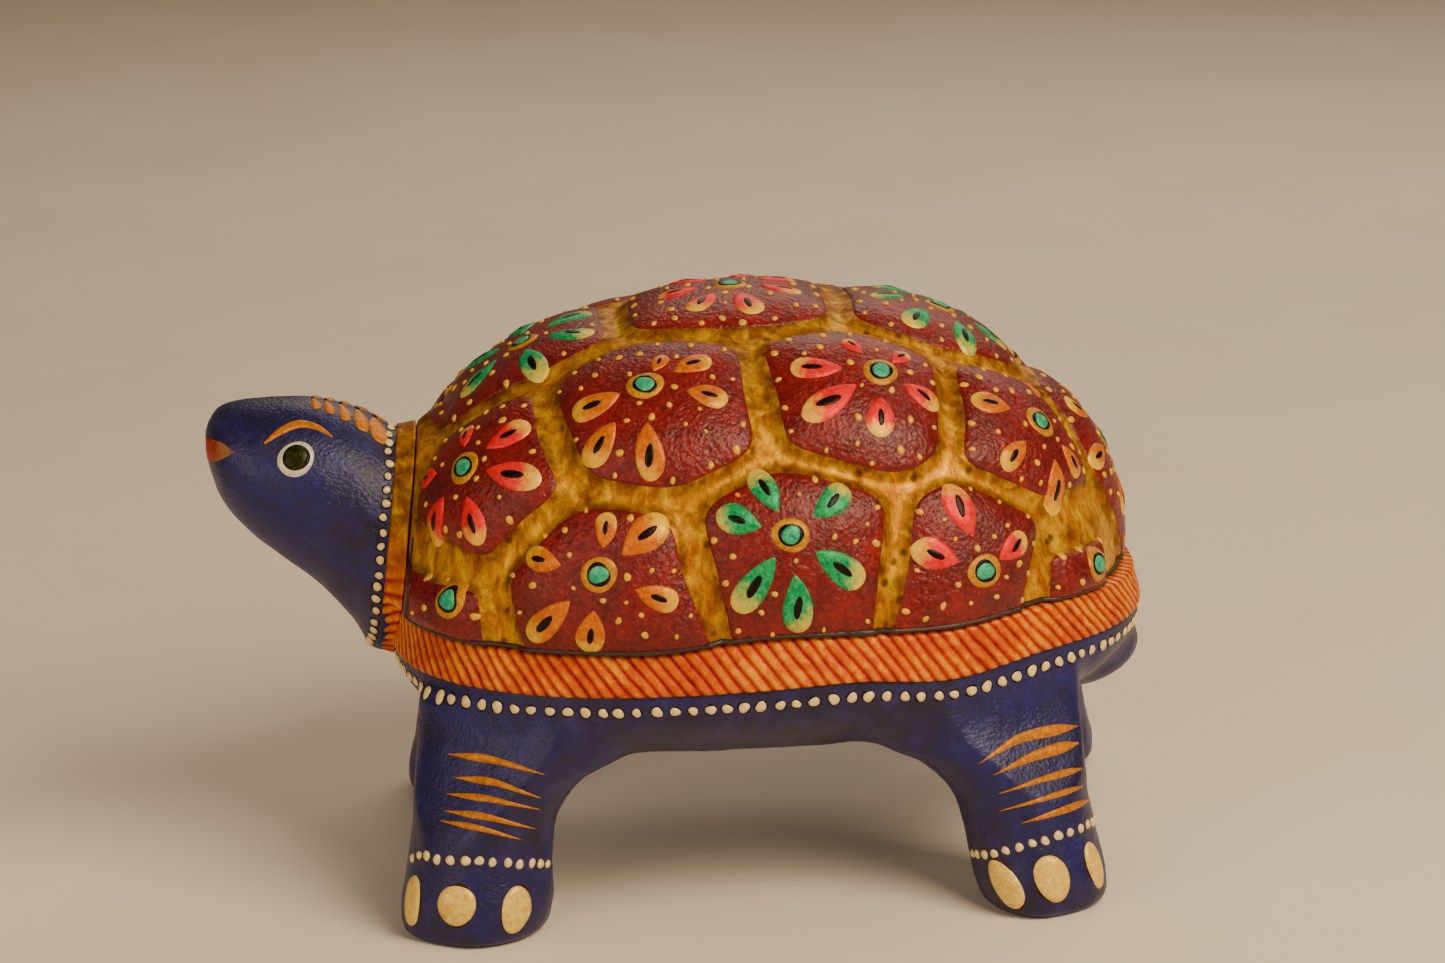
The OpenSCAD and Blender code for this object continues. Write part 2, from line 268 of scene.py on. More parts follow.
def nearest_share(directions):
    """For each direction, how far out it is in the nearest scute: 0 in the middle and 1 at the edge."""
    best = np.full(len(directions), FAR_OUT)
    for index in range(len(SEEDS)):
        middle = SEED_HEADINGS[index]
        along = np.clip(directions @ middle, -1, 1)
        close = along > math.cos(math.radians(WIDEST_SCUTE))
        if not close.any():
            continue
        sideways = directions[close] - along[close, None] * middle
        length = np.maximum(np.linalg.norm(sideways, axis=1), 1e-9)
        angle = np.degrees(np.arccos(along[close]))
        share = angle / scute_reach(index, sideways / length[:, None])
        best[close] = np.minimum(best[close], share)
    return best


BOSS_FOOT = 1.1  # where the boss runs out, as a share of the scute's reach
BOSS_RISE = PAD_RISE + 0.1
BOSS_FLATNESS = 2.8
BOSS_SHOULDER = 0.8


def boss_height(share):
    """The raised boss under a scute's paint, with rounded shoulders that run out in the channel."""
    s = np.clip(share / BOSS_FOOT, 0, 1)
    return BOSS_RISE * (1 - s**BOSS_FLATNESS) ** BOSS_SHOULDER


# ---------------------------------------------------------------- meshes and pieces
def make_piece(
    name, points, faces, materials, body, slot, replaced=(), tone=None, chosen=None, turned=False
):
    """A smooth-shaded piece on a body, from points in mm, in place of the CAD nodes in replaced.

    tone is a value for each point that its paint uses. chosen gives each face's material number.
    turned says that the faces point outwards already.
    """
    mesh = mesh_from_mm(name, points, faces)
    for material in materials:
        mesh.materials.append(material)
    if chosen is not None:
        mesh.polygons.foreach_set("material_index", np.asarray(chosen, dtype=np.int32))
    if tone is not None:
        values = mesh.attributes.new("tone", "FLOAT", "POINT")
        values.data.foreach_set("value", np.asarray(tone, dtype=np.float32))
    if not turned:
        face_outwards(mesh)
    mesh.shade_smooth()
    piece = add_object(name, mesh)
    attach(piece, body)
    if replaced:
        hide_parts(*replaced)
    return piece


def mesh_from_mm(name, points, faces):
    """A mesh from points in mm."""
    mesh = bpy.data.meshes.new(name)
    mesh.from_pydata((np.asarray(points) * MM).tolist(), [], [tuple(int(i) for i in f) for f in faces])
    return mesh


def shifted(faces, start):
    """The same faces, with their points numbered from start on."""
    return [tuple(start + i for i in face) for face in faces]


def add_object(name, data):
    """A new object in the scene."""
    made = bpy.data.objects.new(name, data)
    bpy.context.scene.collection.objects.link(made)
    return made


def face_outwards(mesh):
    """Turns every face of a closed mesh outwards."""
    bm = bmesh.new()
    bm.from_mesh(mesh)
    bmesh.ops.recalc_face_normals(bm, faces=bm.faces)
    bm.to_mesh(mesh)
    bm.free()


def grid_faces(across, around, wrap=True):
    """Quads between rings: ring r starts at point r * around."""
    last = around if wrap else around - 1
    faces = []
    for start in range(0, (across - 1) * around, around):
        for i in range(last):
            beside = (i + 1) % around
            faces.append((start + i, start + beside, start + around + beside, start + around + i))
    return faces


def closed_rings(rings):
    """Points and faces of a closed solid through rings of points, with a fan over each end."""
    rings = np.asarray(rings, float)
    count, around = rings.shape[:2]
    points = np.concatenate([rings.reshape(-1, 3), [rings[0].mean(0)], [rings[-1].mean(0)]])
    first, last = count * around, count * around + 1
    faces = grid_faces(count, around)
    faces += [(first, (i + 1) % around, i) for i in range(around)]
    top = (count - 1) * around
    faces += [(last, top + i, top + (i + 1) % around) for i in range(around)]
    return points, faces


def surface_of(pieces):
    """A tree for finding points on these pieces' surfaces, in mm."""
    points, faces = [], []
    for piece in pieces:
        faces += shifted([p.vertices for p in piece.data.polygons], len(points))
        points += [v.co / MM for v in piece.data.vertices]
    return BVHTree.FromPolygons(points, faces)


def cut_ahead(mesh, gap):
    """Cuts away what lies in front of the collar's back face, and closes the cut."""
    place = Vector(COLLAR_MIDDLE + COLLAR_BACK * gap) * MM
    bm = bmesh.new()
    bm.from_mesh(mesh)
    whole = bm.verts[:] + bm.edges[:] + bm.faces[:]
    bmesh.ops.bisect_plane(bm, geom=whole, plane_co=place, plane_no=COLLAR_BACK, clear_inner=True)
    bmesh.ops.holes_fill(bm, edges=[e for e in bm.edges if e.is_boundary], sides=0)
    bmesh.ops.triangulate(bm, faces=[f for f in bm.faces if len(f.verts) > 4])
    bmesh.ops.recalc_face_normals(bm, faces=bm.faces)
    bm.to_mesh(mesh)
    bm.free()
    mesh.shade_smooth()


# ---------------------------------------------------------------- materials
class Shader:
    """A node material in the making. Texture sizes are given in mm."""

    def __init__(self, name, roughness, coat=0.0, coat_roughness=0.2, specular=0.5, metallic=0.0):
        self.material = bpy.data.materials.new(name)
        self.material.use_nodes = True
        self.tree = self.material.node_tree
        self.out = self.tree.nodes["Principled BSDF"]
        self.out.inputs["Roughness"].default_value = roughness
        self.out.inputs["Coat Weight"].default_value = coat
        self.out.inputs["Coat Roughness"].default_value = coat_roughness
        self.out.inputs["Specular IOR Level"].default_value = specular
        self.out.inputs["Metallic"].default_value = metallic
        self.place = self.tree.nodes.new("ShaderNodeTexCoord").outputs["Object"]

    def feed(self, socket, value):
        """Links a socket to another one's value, or sets it to a constant."""
        if isinstance(value, bpy.types.NodeSocket):
            self.tree.links.new(value, socket)
        else:
            socket.default_value = value

    def stretched(self, sx, sy, sz):
        """The place on the object, squeezed along each axis, for streaks."""
        node = self.tree.nodes.new("ShaderNodeMapping")
        self.feed(node.inputs["Vector"], self.place)
        node.inputs["Scale"].default_value = (sx, sy, sz)
        return node.outputs["Vector"]

    def clouds(self, size, detail=4.0, roughness=0.55, distortion=0.0, place=None):
        """Soft noise around 0.5."""
        node = self.tree.nodes.new("ShaderNodeTexNoise")
        self.feed(node.inputs["Vector"], place or self.place)
        node.inputs["Scale"].default_value = 1 / (size * MM)
        node.inputs["Detail"].default_value = detail
        node.inputs["Roughness"].default_value = roughness
        node.inputs["Distortion"].default_value = distortion
        return node.outputs["Fac"]

    def cells(self, size, feature="SMOOTH_F1"):
        """Distance from the nearest of many scattered points: 0 at each point."""
        node = self.tree.nodes.new("ShaderNodeTexVoronoi")
        node.feature = feature
        self.feed(node.inputs["Vector"], self.place)
        node.inputs["Scale"].default_value = 1 / (size * MM)
        return node.outputs["Distance"]

    def tone(self):
        """The value that each piece's points carry for its paint."""
        node = self.tree.nodes.new("ShaderNodeAttribute")
        node.attribute_name = "tone"
        return node.outputs["Fac"]

    def math(self, operation, a, b=0.0, c=0.0):
        """A sum, a product or another operation on values."""
        node = self.tree.nodes.new("ShaderNodeMath")
        node.operation = operation
        for socket, value in zip(node.inputs, (a, b, c)):
            self.feed(socket, value)
        return node.outputs[0]

    def ramp(self, factor, *stops):
        """A colour or grey by factor: stops are (position, colour)."""
        node = self.tree.nodes.new("ShaderNodeValToRGB")
        self.feed(node.inputs["Fac"], factor)
        marks = node.color_ramp.elements
        while len(marks) < len(stops):
            marks.new(0.5)
        for mark, (position, colour) in zip(marks, stops):
            mark.position = position
            mark.color = colour if isinstance(colour, tuple) else (colour, colour, colour, 1)
        return node.outputs["Color"]

    def mix(self, factor, a, b, blend="MIX"):
        """Colour a where factor is 0 and colour b where it is 1."""
        node = self.tree.nodes.new("ShaderNodeMix")
        node.data_type = "RGBA"
        node.blend_type = blend
        self.feed(node.inputs[0], factor)
        self.feed(node.inputs[6], a)
        self.feed(node.inputs[7], b)
        return node.outputs[2]

    def bump(self, height, depth, strength=1.0, under=None):
        """Adds relief of this depth in mm, on top of another relief where one is given."""
        node = self.tree.nodes.new("ShaderNodeBump")
        node.inputs["Strength"].default_value = strength
        node.inputs["Distance"].default_value = depth * MM
        self.feed(node.inputs["Height"], height)
        if under is not None:
            self.feed(node.inputs["Normal"], under)
        return node.outputs["Normal"]

    def ragged(self, value, size, swing, detail=4.0, roughness=0.55, distortion=0.0):
        """A value pushed up and down by noise, by at most half of swing either way."""
        noise_part = self.clouds(size, detail, roughness, distortion)
        return self.math("ADD", value, self.math("MULTIPLY_ADD", noise_part, swing, -swing / 2))

    def finish(self, colour, normal=None, roughness=None):
        """Feeds the surface, and gives back its material."""
        self.feed(self.out.inputs["Base Color"], colour)
        if normal is not None:
            self.feed(self.out.inputs["Normal"], normal)
            self.feed(self.out.inputs["Coat Normal"], normal)
        if roughness is not None:
            self.feed(self.out.inputs["Roughness"], roughness)
        return self.material


def leather_relief(s, grain=0.55, depth=0.07):
    """The fine pebbled skin that thick varnish leaves over brushed paste."""
    pebbles = s.bump(s.cells(grain), depth, 1.0)
    wrinkles = s.bump(s.clouds(grain * 1.6, 3.0, 0.6, 1.2), depth * 1.5, 0.9, pebbles)
    return s.bump(s.clouds(6.0, 2.0), 0.35, 0.5, wrinkles)


def blue_paint():
    """Navy, with brighter blue where the brush went over twice."""
    s = Shader("blue_paint", 0.42, coat=0.18, coat_roughness=0.34, specular=0.4)
    patch = s.ramp(s.clouds(20, 3.0, 0.5), (0.48, 0.0), (0.72, 1.0))
    deep = s.ramp(
        s.clouds(4.0, 5.0, 0.6),
        (0.3, paint(14, 9, 44)),
        (0.55, paint(26, 18, 76)),
        (0.75, paint(46, 36, 106)),
    )
    bright = s.ramp(s.clouds(3.0, 5.0, 0.6), (0.3, paint(10, 8, 70)), (0.7, paint(18, 16, 112)))
    colour = s.mix(patch, deep, bright)
    grain = s.ramp(s.cells(0.55), (0.1, 0.62), (0.6, 1.0))
    colour = s.mix(0.6, colour, grain, "MULTIPLY")
    gloss = s.ramp(s.clouds(9, 3.0), (0.3, 0.36), (0.7, 0.5))
    return s.finish(colour, leather_relief(s, 0.55, 0.075), gloss)


def maroon_paint():
    """Varnished maroon with red grains, partly the paint's own grain and partly painted highlight on its
    pebbles, duskier in places.
    """
    s = Shader("maroon_paint", 0.36, coat=0.12, coat_roughness=0.22, specular=0.35)
    base = s.ramp(
        s.clouds(5.0, 5.0, 0.6),
        (0.28, paint(72, 1, 2)),
        (0.5, paint(112, 2, 3)),
        (0.72, paint(148, 8, 4)),
    )
    # Red specks in the grain: partly the paint's grain and partly painted highlight on the pebbled surface.
    grain = s.ramp(s.cells(0.7), (0.15, paint(164, 30, 20)), (0.62, paint(70, 1, 2)))
    colour = s.mix(0.36, base, grain)
    dusk = s.ramp(s.clouds(17, 2.0), (0.4, 0.0), (0.66, 1.0))
    colour = s.mix(s.math("MULTIPLY", dusk, 0.35), colour, paint(78, 12, 18))
    gloss = s.ramp(s.clouds(8, 3.0), (0.3, 0.3), (0.7, 0.44))
    return s.finish(colour, leather_relief(s, 0.66, 0.14), gloss)


def gold_colour(s):
    """Ochre brushed over brown: streaks, blotches, a few worn dark spots, and brown by tone, which on the
    lid is painted shade along the foot of each scute's boss.
    """
    streaks = s.clouds(2.4, 6.0, 0.7, 0.8, s.stretched(1, 1, 0.45))
    base = s.ramp(
        streaks,
        (0.26, paint(104, 54, 0)),
        (0.38, paint(174, 102, 0)),
        (0.5, paint(206, 140, 0)),
        (0.66, paint(240, 190, 0)),
    )
    blotch = s.ramp(s.clouds(4.5, 5.0, 0.65, 0.6), (0.5, 0.0), (0.62, 1.0))
    colour = s.mix(s.math("MULTIPLY", blotch, 0.5), base, paint(92, 42, 0))
    spots = s.ramp(s.cells(3.6, "F1"), (0.14, 1.0), (0.26, 0.0))
    rare = s.ramp(s.clouds(9, 2.0), (0.46, 0.0), (0.52, 1.0))
    worn = s.math("MULTIPLY", s.math("MULTIPLY", spots, rare), 0.8)
    colour = s.mix(worn, colour, paint(66, 34, 4))
    # Browner where the tone is high: on the lid, painted shade along the foot of each scute's boss.
    darker_by_tone = s.math("MULTIPLY", s.tone(), s.ramp(s.clouds(3.0, 4.0, 0.6), (0.35, 0.15), (0.62, 0.9)))
    return s.mix(darker_by_tone, colour, paint(88, 38, 0))


def gold_paint():
    """The brushed gold between the scutes, with the brush's grain in relief."""
    s = Shader("gold_paint", 0.42, specular=0.1, metallic=0.45)
    brush = s.bump(s.clouds(1.1, 5.0, 0.7, 0.5, s.stretched(1, 1, 0.5)), 0.14, 0.7)
    relief = s.bump(s.clouds(5.0, 3.0), 0.4, 0.6, brush)
    gloss = s.ramp(s.clouds(3, 4.0), (0.3, 0.36), (0.7, 0.58))
    return s.finish(gold_colour(s), relief, gloss)


def orange_colour(s):
    """Orange strokes by tone: red-orange in the grooves, partly the strokes' own paint and partly painted
    shade, and golden on the ridges as painted highlight.
    """
    return s.ramp(
        s.ragged(s.ragged(s.tone(), 1.4, 0.9, 5.0, 0.7, 0.6), 7, 0.8, 3.0),
        (0.05, paint(100, 10, 0)),
        (0.32, paint(166, 36, 0)),
        (0.6, paint(196, 70, 0)),
        (0.86, paint(214, 106, 0)),
        (1.0, paint(238, 154, 0)),
    )


def orange_paint():
    """The rim's orange strokes."""
    s = Shader("orange_paint", 0.42, specular=0.15, metallic=0.25)
    fine = s.bump(s.clouds(0.8, 4.0, 0.65), 0.1, 0.7)
    return s.finish(orange_colour(s), s.bump(s.clouds(4, 3.0), 0.3, 0.4, fine))


COLLAR_GOLD_FROM = 52.0
COLLAR_GOLD_FADE = 9.0


def collar_paint():
    """Gold above and orange strokes below, with a ragged change between them."""
    s = Shader("collar_paint", 0.42, specular=0.15, metallic=0.3)
    split = s.tree.nodes.new("ShaderNodeSeparateXYZ")
    s.feed(split.inputs[0], s.place)
    height = s.ragged(s.math("MULTIPLY", split.outputs["Z"], 1 / MM), 4, 12.0)
    above = s.math("DIVIDE", s.math("SUBTRACT", height, COLLAR_GOLD_FROM), COLLAR_GOLD_FADE)
    gold_part = s.ramp(above, (0.0, 0.0), (1.0, 1.0))
    relief = s.bump(s.clouds(1.1, 5.0, 0.7, 0.5), 0.14, 0.7)
    return s.finish(s.mix(gold_part, orange_colour(s), gold_colour(s)), relief)


def stroke_paint(name, dark, middle, light, pale=None, gloss=0.36):
    """Thick brushed paint. Where pale is given, tone 0 is the full colour and tone 1 the pale tip."""
    s = Shader(name, gloss, coat=0.04, coat_roughness=0.2, specular=0.15, metallic=0.15)
    colour = s.ramp(s.clouds(0.9, 5.0, 0.7, 0.8), (0.3, dark), (0.5, middle), (0.72, light))
    if pale:
        tip = s.ramp(s.ragged(s.tone(), 1.2, 0.7, 4.0, 0.65), (0.58, 0.0), (0.9, 0.9))
        colour = s.mix(tip, colour, pale)
    fine = s.bump(s.clouds(0.5, 4.0, 0.6), 0.06, 0.7)
    return s.finish(colour, s.bump(s.clouds(1.5, 3.0), 0.12, 0.6, fine))


def mouth_paint(under):
    """Red-orange at the nose, worn away to the blue behind it by tone."""
    s = Shader("mouth_paint", 0.4, specular=0.2, metallic=0.1)
    red = s.ramp(s.clouds(1.5, 4.0), (0.3, paint(120, 14, 0)), (0.7, paint(178, 42, 0)))
    worn = s.ragged(s.tone(), 1.0, 0.6, 4.0, 0.7)
    warm = s.mix(s.ramp(worn, (0.35, 0.0), (0.7, 1.0)), red, paint(150, 100, 56))
    colour = s.mix(s.ramp(worn, (0.72, 0.0), (1.0, 1.0)), warm, under)
    return s.finish(colour, leather_relief(s, 0.5, 0.05))


def bare_paste():
    """The inside of the box: unpainted paper paste under one thin brown wash."""
    s = Shader("bare_paste", 0.8)
    colour = s.ramp(s.clouds(9, 6.0, 0.6), (0.3, paint(116, 74, 44)), (0.7, paint(168, 122, 82)))
    fibres = s.ramp(s.clouds(1.2, 5.0, 0.7, 1.5, s.stretched(1, 0.3, 1)), (0.35, 0.75), (0.65, 1.0))
    relief = s.bump(s.clouds(1.6, 5.0, 0.65), 0.2, 0.8)
    return s.finish(s.mix(0.6, colour, fibres, "MULTIPLY"), relief)


def bare_wood():
    """Pale wood with grain along its height."""
    s = Shader("bare_wood", 0.65)
    rings = s.clouds(2.4, 4.0, 0.6, 0.8, s.stretched(1, 1, 0.16))
    colour = s.ramp(
        rings,
        (0.3, paint(156, 112, 66)),
        (0.5, paint(196, 152, 98)),
        (0.7, paint(214, 176, 124)),
    )
    return s.finish(colour, s.bump(rings, 0.1, 0.6))


def seam_shade():
    """Dark brown: painted shade in the gap at the lid's parting line."""
    s = Shader("seam_shade", 0.5, coat=0.2)
    colour = s.ramp(
        s.clouds(1.2, 4.0, 0.65),
        (0.35, paint(20, 12, 10)),
        (0.62, paint(48, 26, 16)),
        (0.8, paint(92, 52, 26)),
    )
    return s.finish(colour, s.bump(s.clouds(0.7, 4.0), 0.12, 0.8))


BLUE = blue_paint()
MAROON = maroon_paint()
GOLD = gold_paint()
ORANGE = orange_paint()
COLLAR = collar_paint()
PASTE = bare_paste()
WOOD = bare_wood()
# Dark brown standing in for the shade in the lid's parting gap.
SEAM = seam_shade()
CREAM_TIP = paint(248, 208, 60)
PAINTS = {
    "orange": stroke_paint(
        "petal_orange", paint(180, 74, 0), paint(206, 104, 0), paint(228, 138, 0), paint(242, 196, 20)
    ),
    "red": stroke_paint("petal_red", paint(196, 8, 14), paint(230, 26, 30), paint(246, 60, 56), CREAM_TIP),
    "green": stroke_paint(
        "petal_green", paint(0, 108, 52), paint(8, 152, 86), paint(66, 192, 124), CREAM_TIP
    ),
    "black": stroke_paint("slit_black", paint(12, 4, 4), paint(24, 10, 8), paint(50, 30, 12), gloss=0.3),
    "ring": stroke_paint("rosette_gold", paint(160, 92, 0), paint(196, 130, 0), paint(224, 168, 0)),
    "teal": stroke_paint("rosette_teal", paint(14, 128, 92), paint(44, 170, 124), paint(112, 210, 160)),
    "dot": stroke_paint("dot_cream", paint(200, 138, 8), paint(226, 172, 26), paint(244, 206, 70)),
    "bone": stroke_paint("bone_cream", paint(222, 184, 104), paint(240, 210, 138), paint(250, 230, 176)),
    "nail": stroke_paint("nail_cream", paint(206, 154, 50), paint(238, 198, 92), paint(250, 224, 132)),
    "umber": stroke_paint("umber_line", paint(30, 14, 4), paint(52, 26, 8), paint(84, 46, 14)),
    # Navy: the pupil's rim, and a painted shadow ring round each cream dot on the neck and under the rim.
    "navy": stroke_paint("navy_rim_and_dot_shadow", paint(8, 5, 22), paint(14, 10, 34), paint(24, 20, 50)),
    "stripe": stroke_paint("stripe_gold", paint(150, 82, 0), paint(190, 112, 0), paint(222, 144, 0)),
    "olive": stroke_paint("pupil_olive", paint(10, 10, 2), paint(34, 36, 6), paint(74, 74, 20), gloss=0.22),
    "white": stroke_paint("eye_white", paint(176, 172, 146), paint(206, 200, 172), paint(228, 222, 196)),
    "mouth": mouth_paint(paint(24, 18, 76)),
}


# ---------------------------------------------------------------- paint strokes laid on a surface
class Brushwork:
    """Dabs and strokes of thick paint laid on a surface, gathered into one piece.

    A chart's rays() turns flat positions in mm into origins and directions that meet the surface.
    """

    def __init__(self, surface):
        self.surface = surface
        self.points, self.faces, self.tones, self.paints, self.chosen = [], [], [], [], []

    def laid(self, chart, flat, heights):
        """Where flat positions land on the surface, lifted by heights, or None if one misses."""
        origins, ways = chart.rays(np.asarray(flat, float))
        placed = []
        for origin, way, height in zip(origins, ways, heights):
            hit, normal, _, _ = self.surface.ray_cast(Vector(origin), Vector(way), 60)
            if hit is None:
                return None
            if normal.dot(Vector(way)) > 0:
                normal = -normal
            placed.append(hit + normal * float(height))
        return placed

    def add(self, placed, faces, colour, tones):
        """Adds faces between placed points, unless some point missed the surface."""
        if placed is None:
            return
        if colour not in self.paints:
            self.paints.append(colour)
        self.faces += shifted(faces, len(self.points))
        self.points += placed
        self.tones += [float(t) for t in tones]
        self.chosen += [self.paints.index(colour)] * len(faces)

    def dab(self, chart, outline, height, colour, tone=None, crown=4.0, base=0.0):
        """A dab with this outline, thickest in its middle. base lifts it onto a dab below it."""
        outline = np.asarray(outline, float)
        middle = outline.mean(0)
        count = len(outline)
        shares = [1.0, 0.94, 0.75, 0.4]
        heights = [-0.12] + [base + height * (1 - s**crown) + 0.03 for s in shares[1:]]
        flat = np.concatenate([middle + (outline - middle) * s for s in shares] + [[middle]])
        lifts = np.concatenate([np.repeat(heights, count), [base + height + 0.03]])
        faces = grid_faces(len(shares), count)
        last = (len(shares) - 1) * count
        faces += [(last + i, last + (i + 1) % count, len(flat) - 1) for i in range(count)]
        tones = np.zeros(len(flat)) if tone is None else tone(flat)
        self.add(self.laid(chart, flat, lifts), faces, colour, tones)

    def stroke(self, chart, line, widths, height, colour, steps=26):
        """A brushed line through flat points, with a width at each of them."""
        t = np.linspace(0, 1, steps)
        centre = flat_curve(line, t)
        width = np.maximum(curve_through(np.linspace(0, 1, len(line)), widths, t), 0.08)
        along = unit(np.gradient(centre, axis=0))
        side = np.stack([-along[:, 1], along[:, 0]], -1)
        across = np.array([-0.5, -0.4, -0.15, 0.15, 0.4, 0.5])
        lift = np.array([-0.12, 0.7, 1.0, 1.0, 0.7, -0.12]) * height
        flat = (centre[:, None] + side[:, None] * (width[:, None] * across)[..., None]).reshape(-1, 2)
        faces = grid_faces(steps, len(across), False)
        self.add(self.laid(chart, flat, np.tile(lift, steps)), faces, colour, np.zeros(len(flat)))

    def piece(self, name, body, slot):
        """Everything laid so far, as one piece."""
        materials = [PAINTS[colour] for colour in self.paints]
        painted = dict(tone=self.tones, chosen=self.chosen, turned=True)
        return make_piece(name, self.points, self.faces, materials, body, slot, **painted)


def curve_through(keys, values, t):
    """A smooth curve through values at keys (monotone keys, Catmull-Rom slopes)."""
    keys, values = np.asarray(keys, float), np.asarray(values, float)
    slopes = np.gradient(values, keys)
    i = np.clip(np.searchsorted(keys, t, side="right") - 1, 0, len(keys) - 2)
    step = keys[i + 1] - keys[i]
    u = (t - keys[i]) / step
    return (
        (2 * u**3 - 3 * u**2 + 1) * values[i]
        + (u**3 - 2 * u**2 + u) * step * slopes[i]
        + (3 * u**2 - 2 * u**3) * values[i + 1]
        + (u**3 - u**2) * step * slopes[i + 1]
    )


def flat_curve(line, shares):
    """Points at shares of the way along a smooth curve through flat points."""
    line, shares = np.asarray(line, float), np.asarray(shares, float)
    keys = np.linspace(0, 1, len(line))
    return np.stack([curve_through(keys, line[:, axis], shares) for axis in (0, 1)], -1)


def blot(radius, tall, rng, middle=(0.0, 0.0), turn=0.0, rough=0.08, count=14):
    """The outline of a hand-painted spot, a little irregular."""
    t = circle(count)
    waves = 1 + rough * (np.cos(2 * t + rng.uniform(0, 6)) + 0.6 * np.cos(3 * t + rng.uniform(0, 6)))
    x, y = radius * waves * np.cos(t), tall * waves * np.sin(t)
    c, s = math.cos(turn), math.sin(turn)
    return np.stack([middle[0] + c * x - s * y, middle[1] + s * x + c * y], -1)


def petal(inner, outer, width, rng, count=26):
    """A teardrop from its pointed inner tip to its round outer end."""
    inner, outer = np.asarray(inner, float), np.asarray(outer, float)
    way = outer - inner
    side = np.array([-way[1], way[0]]) / np.linalg.norm(way)
    t = circle(count)
    along = (1 - np.cos(t)) / 2
    out = width / 2 * np.sin(t) * np.sin(t / 2) ** 0.75 * 1.12
    out *= 1 + 0.07 * np.sin(2 * t + rng.uniform(0, 6))
    return inner + along[:, None] * way + out[:, None] * side


class FlatChart:
    """Positions on the plane that touches the surface at a point. Rays run square to the plane."""

    def __init__(self, origin, normal, right, reach=14.0):
        self.origin = np.asarray(origin, float)
        self.normal = unit(np.asarray(normal, float))
        right = np.asarray(right, float)
        self.right = unit(right - (right @ self.normal) * self.normal)
        self.up = np.cross(self.normal, self.right)
        self.reach = reach

    def flat(self, points):
        """The flat positions of points in space."""
        away = np.asarray(points, float) - self.origin
        return np.stack([away @ self.right, away @ self.up], -1)

    def rays(self, flat):
        """Rays down onto the surface through flat positions."""
        origins = self.origin + flat[:, :1] * self.right + flat[:, 1:] * self.up + self.normal * self.reach
        return origins, np.tile(-self.normal, (len(flat), 1))


class RoundChart:
    """Positions wrapped round an axis: (distance round it, station along it), both in mm."""

    def __init__(self, axis, outward, sideways, radius, reach):
        self.axis, self.radius, self.reach = axis, radius, reach
        self.outward, self.sideways = np.asarray(outward, float), np.asarray(sideways, float)

    def rays(self, flat):
        """Rays in towards the axis through flat positions."""
        angle = flat[:, 0] / self.radius
        way = np.cos(angle)[:, None] * self.outward + np.sin(angle)[:, None] * self.sideways
        return self.axis(flat[:, 1]) + way * self.reach, -way


# ---------------------------------------------------------------- the lid
def hand_lumps(points):
    """The small unevenness of paste smoothed by hand."""
    return 0.22 * ripple(points, 10) + 0.07 * ripple(points, 3, shift=7)


def drawn_to_collar(points):
    """Points of the lid drawn forwards to the collar's back face, so the neck flows into the dome."""
    behind = behind_collar(points)
    high = (points - COLLAR_MIDDLE) @ COLLAR_UP
    out = np.hypot(points[:, 0] / NECK_HW, high / NECK_HH)
    # All the way inside the neck's oval, and less and less further out and further back.
    near = (1 - ease(1.02, 1.26, out)) * (1 - ease(7.0, 12.0, behind))
    forward = near * np.maximum(behind - LID_MEETS_COLLAR, 0)
    return points - forward[:, None] * COLLAR_BACK


def lid_surface(ways, lift):
    """The lid's painted outside in each direction, lifted by lift."""
    directions = ways.reshape(-1, 3)
    boss = boss_height(nearest_share(directions))
    boss = boss + hand_lumps(dome_point(directions, 0)) + np.asarray(lift).reshape(-1)
    return drawn_to_collar(settle(dome_point(directions, boss))).reshape(ways.shape)


SHELL_AROUND = 480
SHELL_RINGS = 132
LINING_RINGS = 30


def lid_shell():
    """The lid: tone 1 under each scute, falling to 0 across its boss's foot to mid-channel; the gold
    darkens by it as painted shade at the foot of the boss.
    """
    bearings = np.arange(SHELL_AROUND) * 360 / SHELL_AROUND
    outside = heading(bearings[None, :], np.linspace(89.3, 0, SHELL_RINGS)[:, None])
    inside = heading(bearings[None, :], np.linspace(0, 88, LINING_RINGS)[:, None])
    outer = lid_surface(outside, np.zeros(outside.shape[:2]))
    inner = settle(dome_point(inside, -LID_WALL))
    points, faces = closed_rings(np.concatenate([outer, inner]))
    tone = np.zeros(len(points))
    tone[: SHELL_RINGS * SHELL_AROUND] = 1 - ease(1.0, 1.2, nearest_share(outside.reshape(-1, 3)))
    lower_edge = (SHELL_RINGS - 1) * SHELL_AROUND
    chosen = [int(min(f) >= lower_edge) for f in faces]
    painted = dict(replaced=["shell_lid"], tone=tone, chosen=chosen)
    shell = make_piece("shell", points, faces, [GOLD, PASTE], "lid", "gold_paint", **painted)
    cut_ahead(shell.data, LID_GAP)
    return shell


def scute_ways(index, shares, angles):
    """Directions at shares of a scute's reach, round its middle."""
    middle, across, up = scute_axes(index)
    ways = np.cos(angles)[:, None] * across + np.sin(angles)[:, None] * up
    reach = np.radians(scute_reach(index, ways))
    turn = np.asarray(shares)[:, None, None] * reach[None, :, None]
    return np.cos(turn) * middle + np.sin(turn) * ways[None]


PAD_ROOT = -0.5
PAD_FILM = 0.17


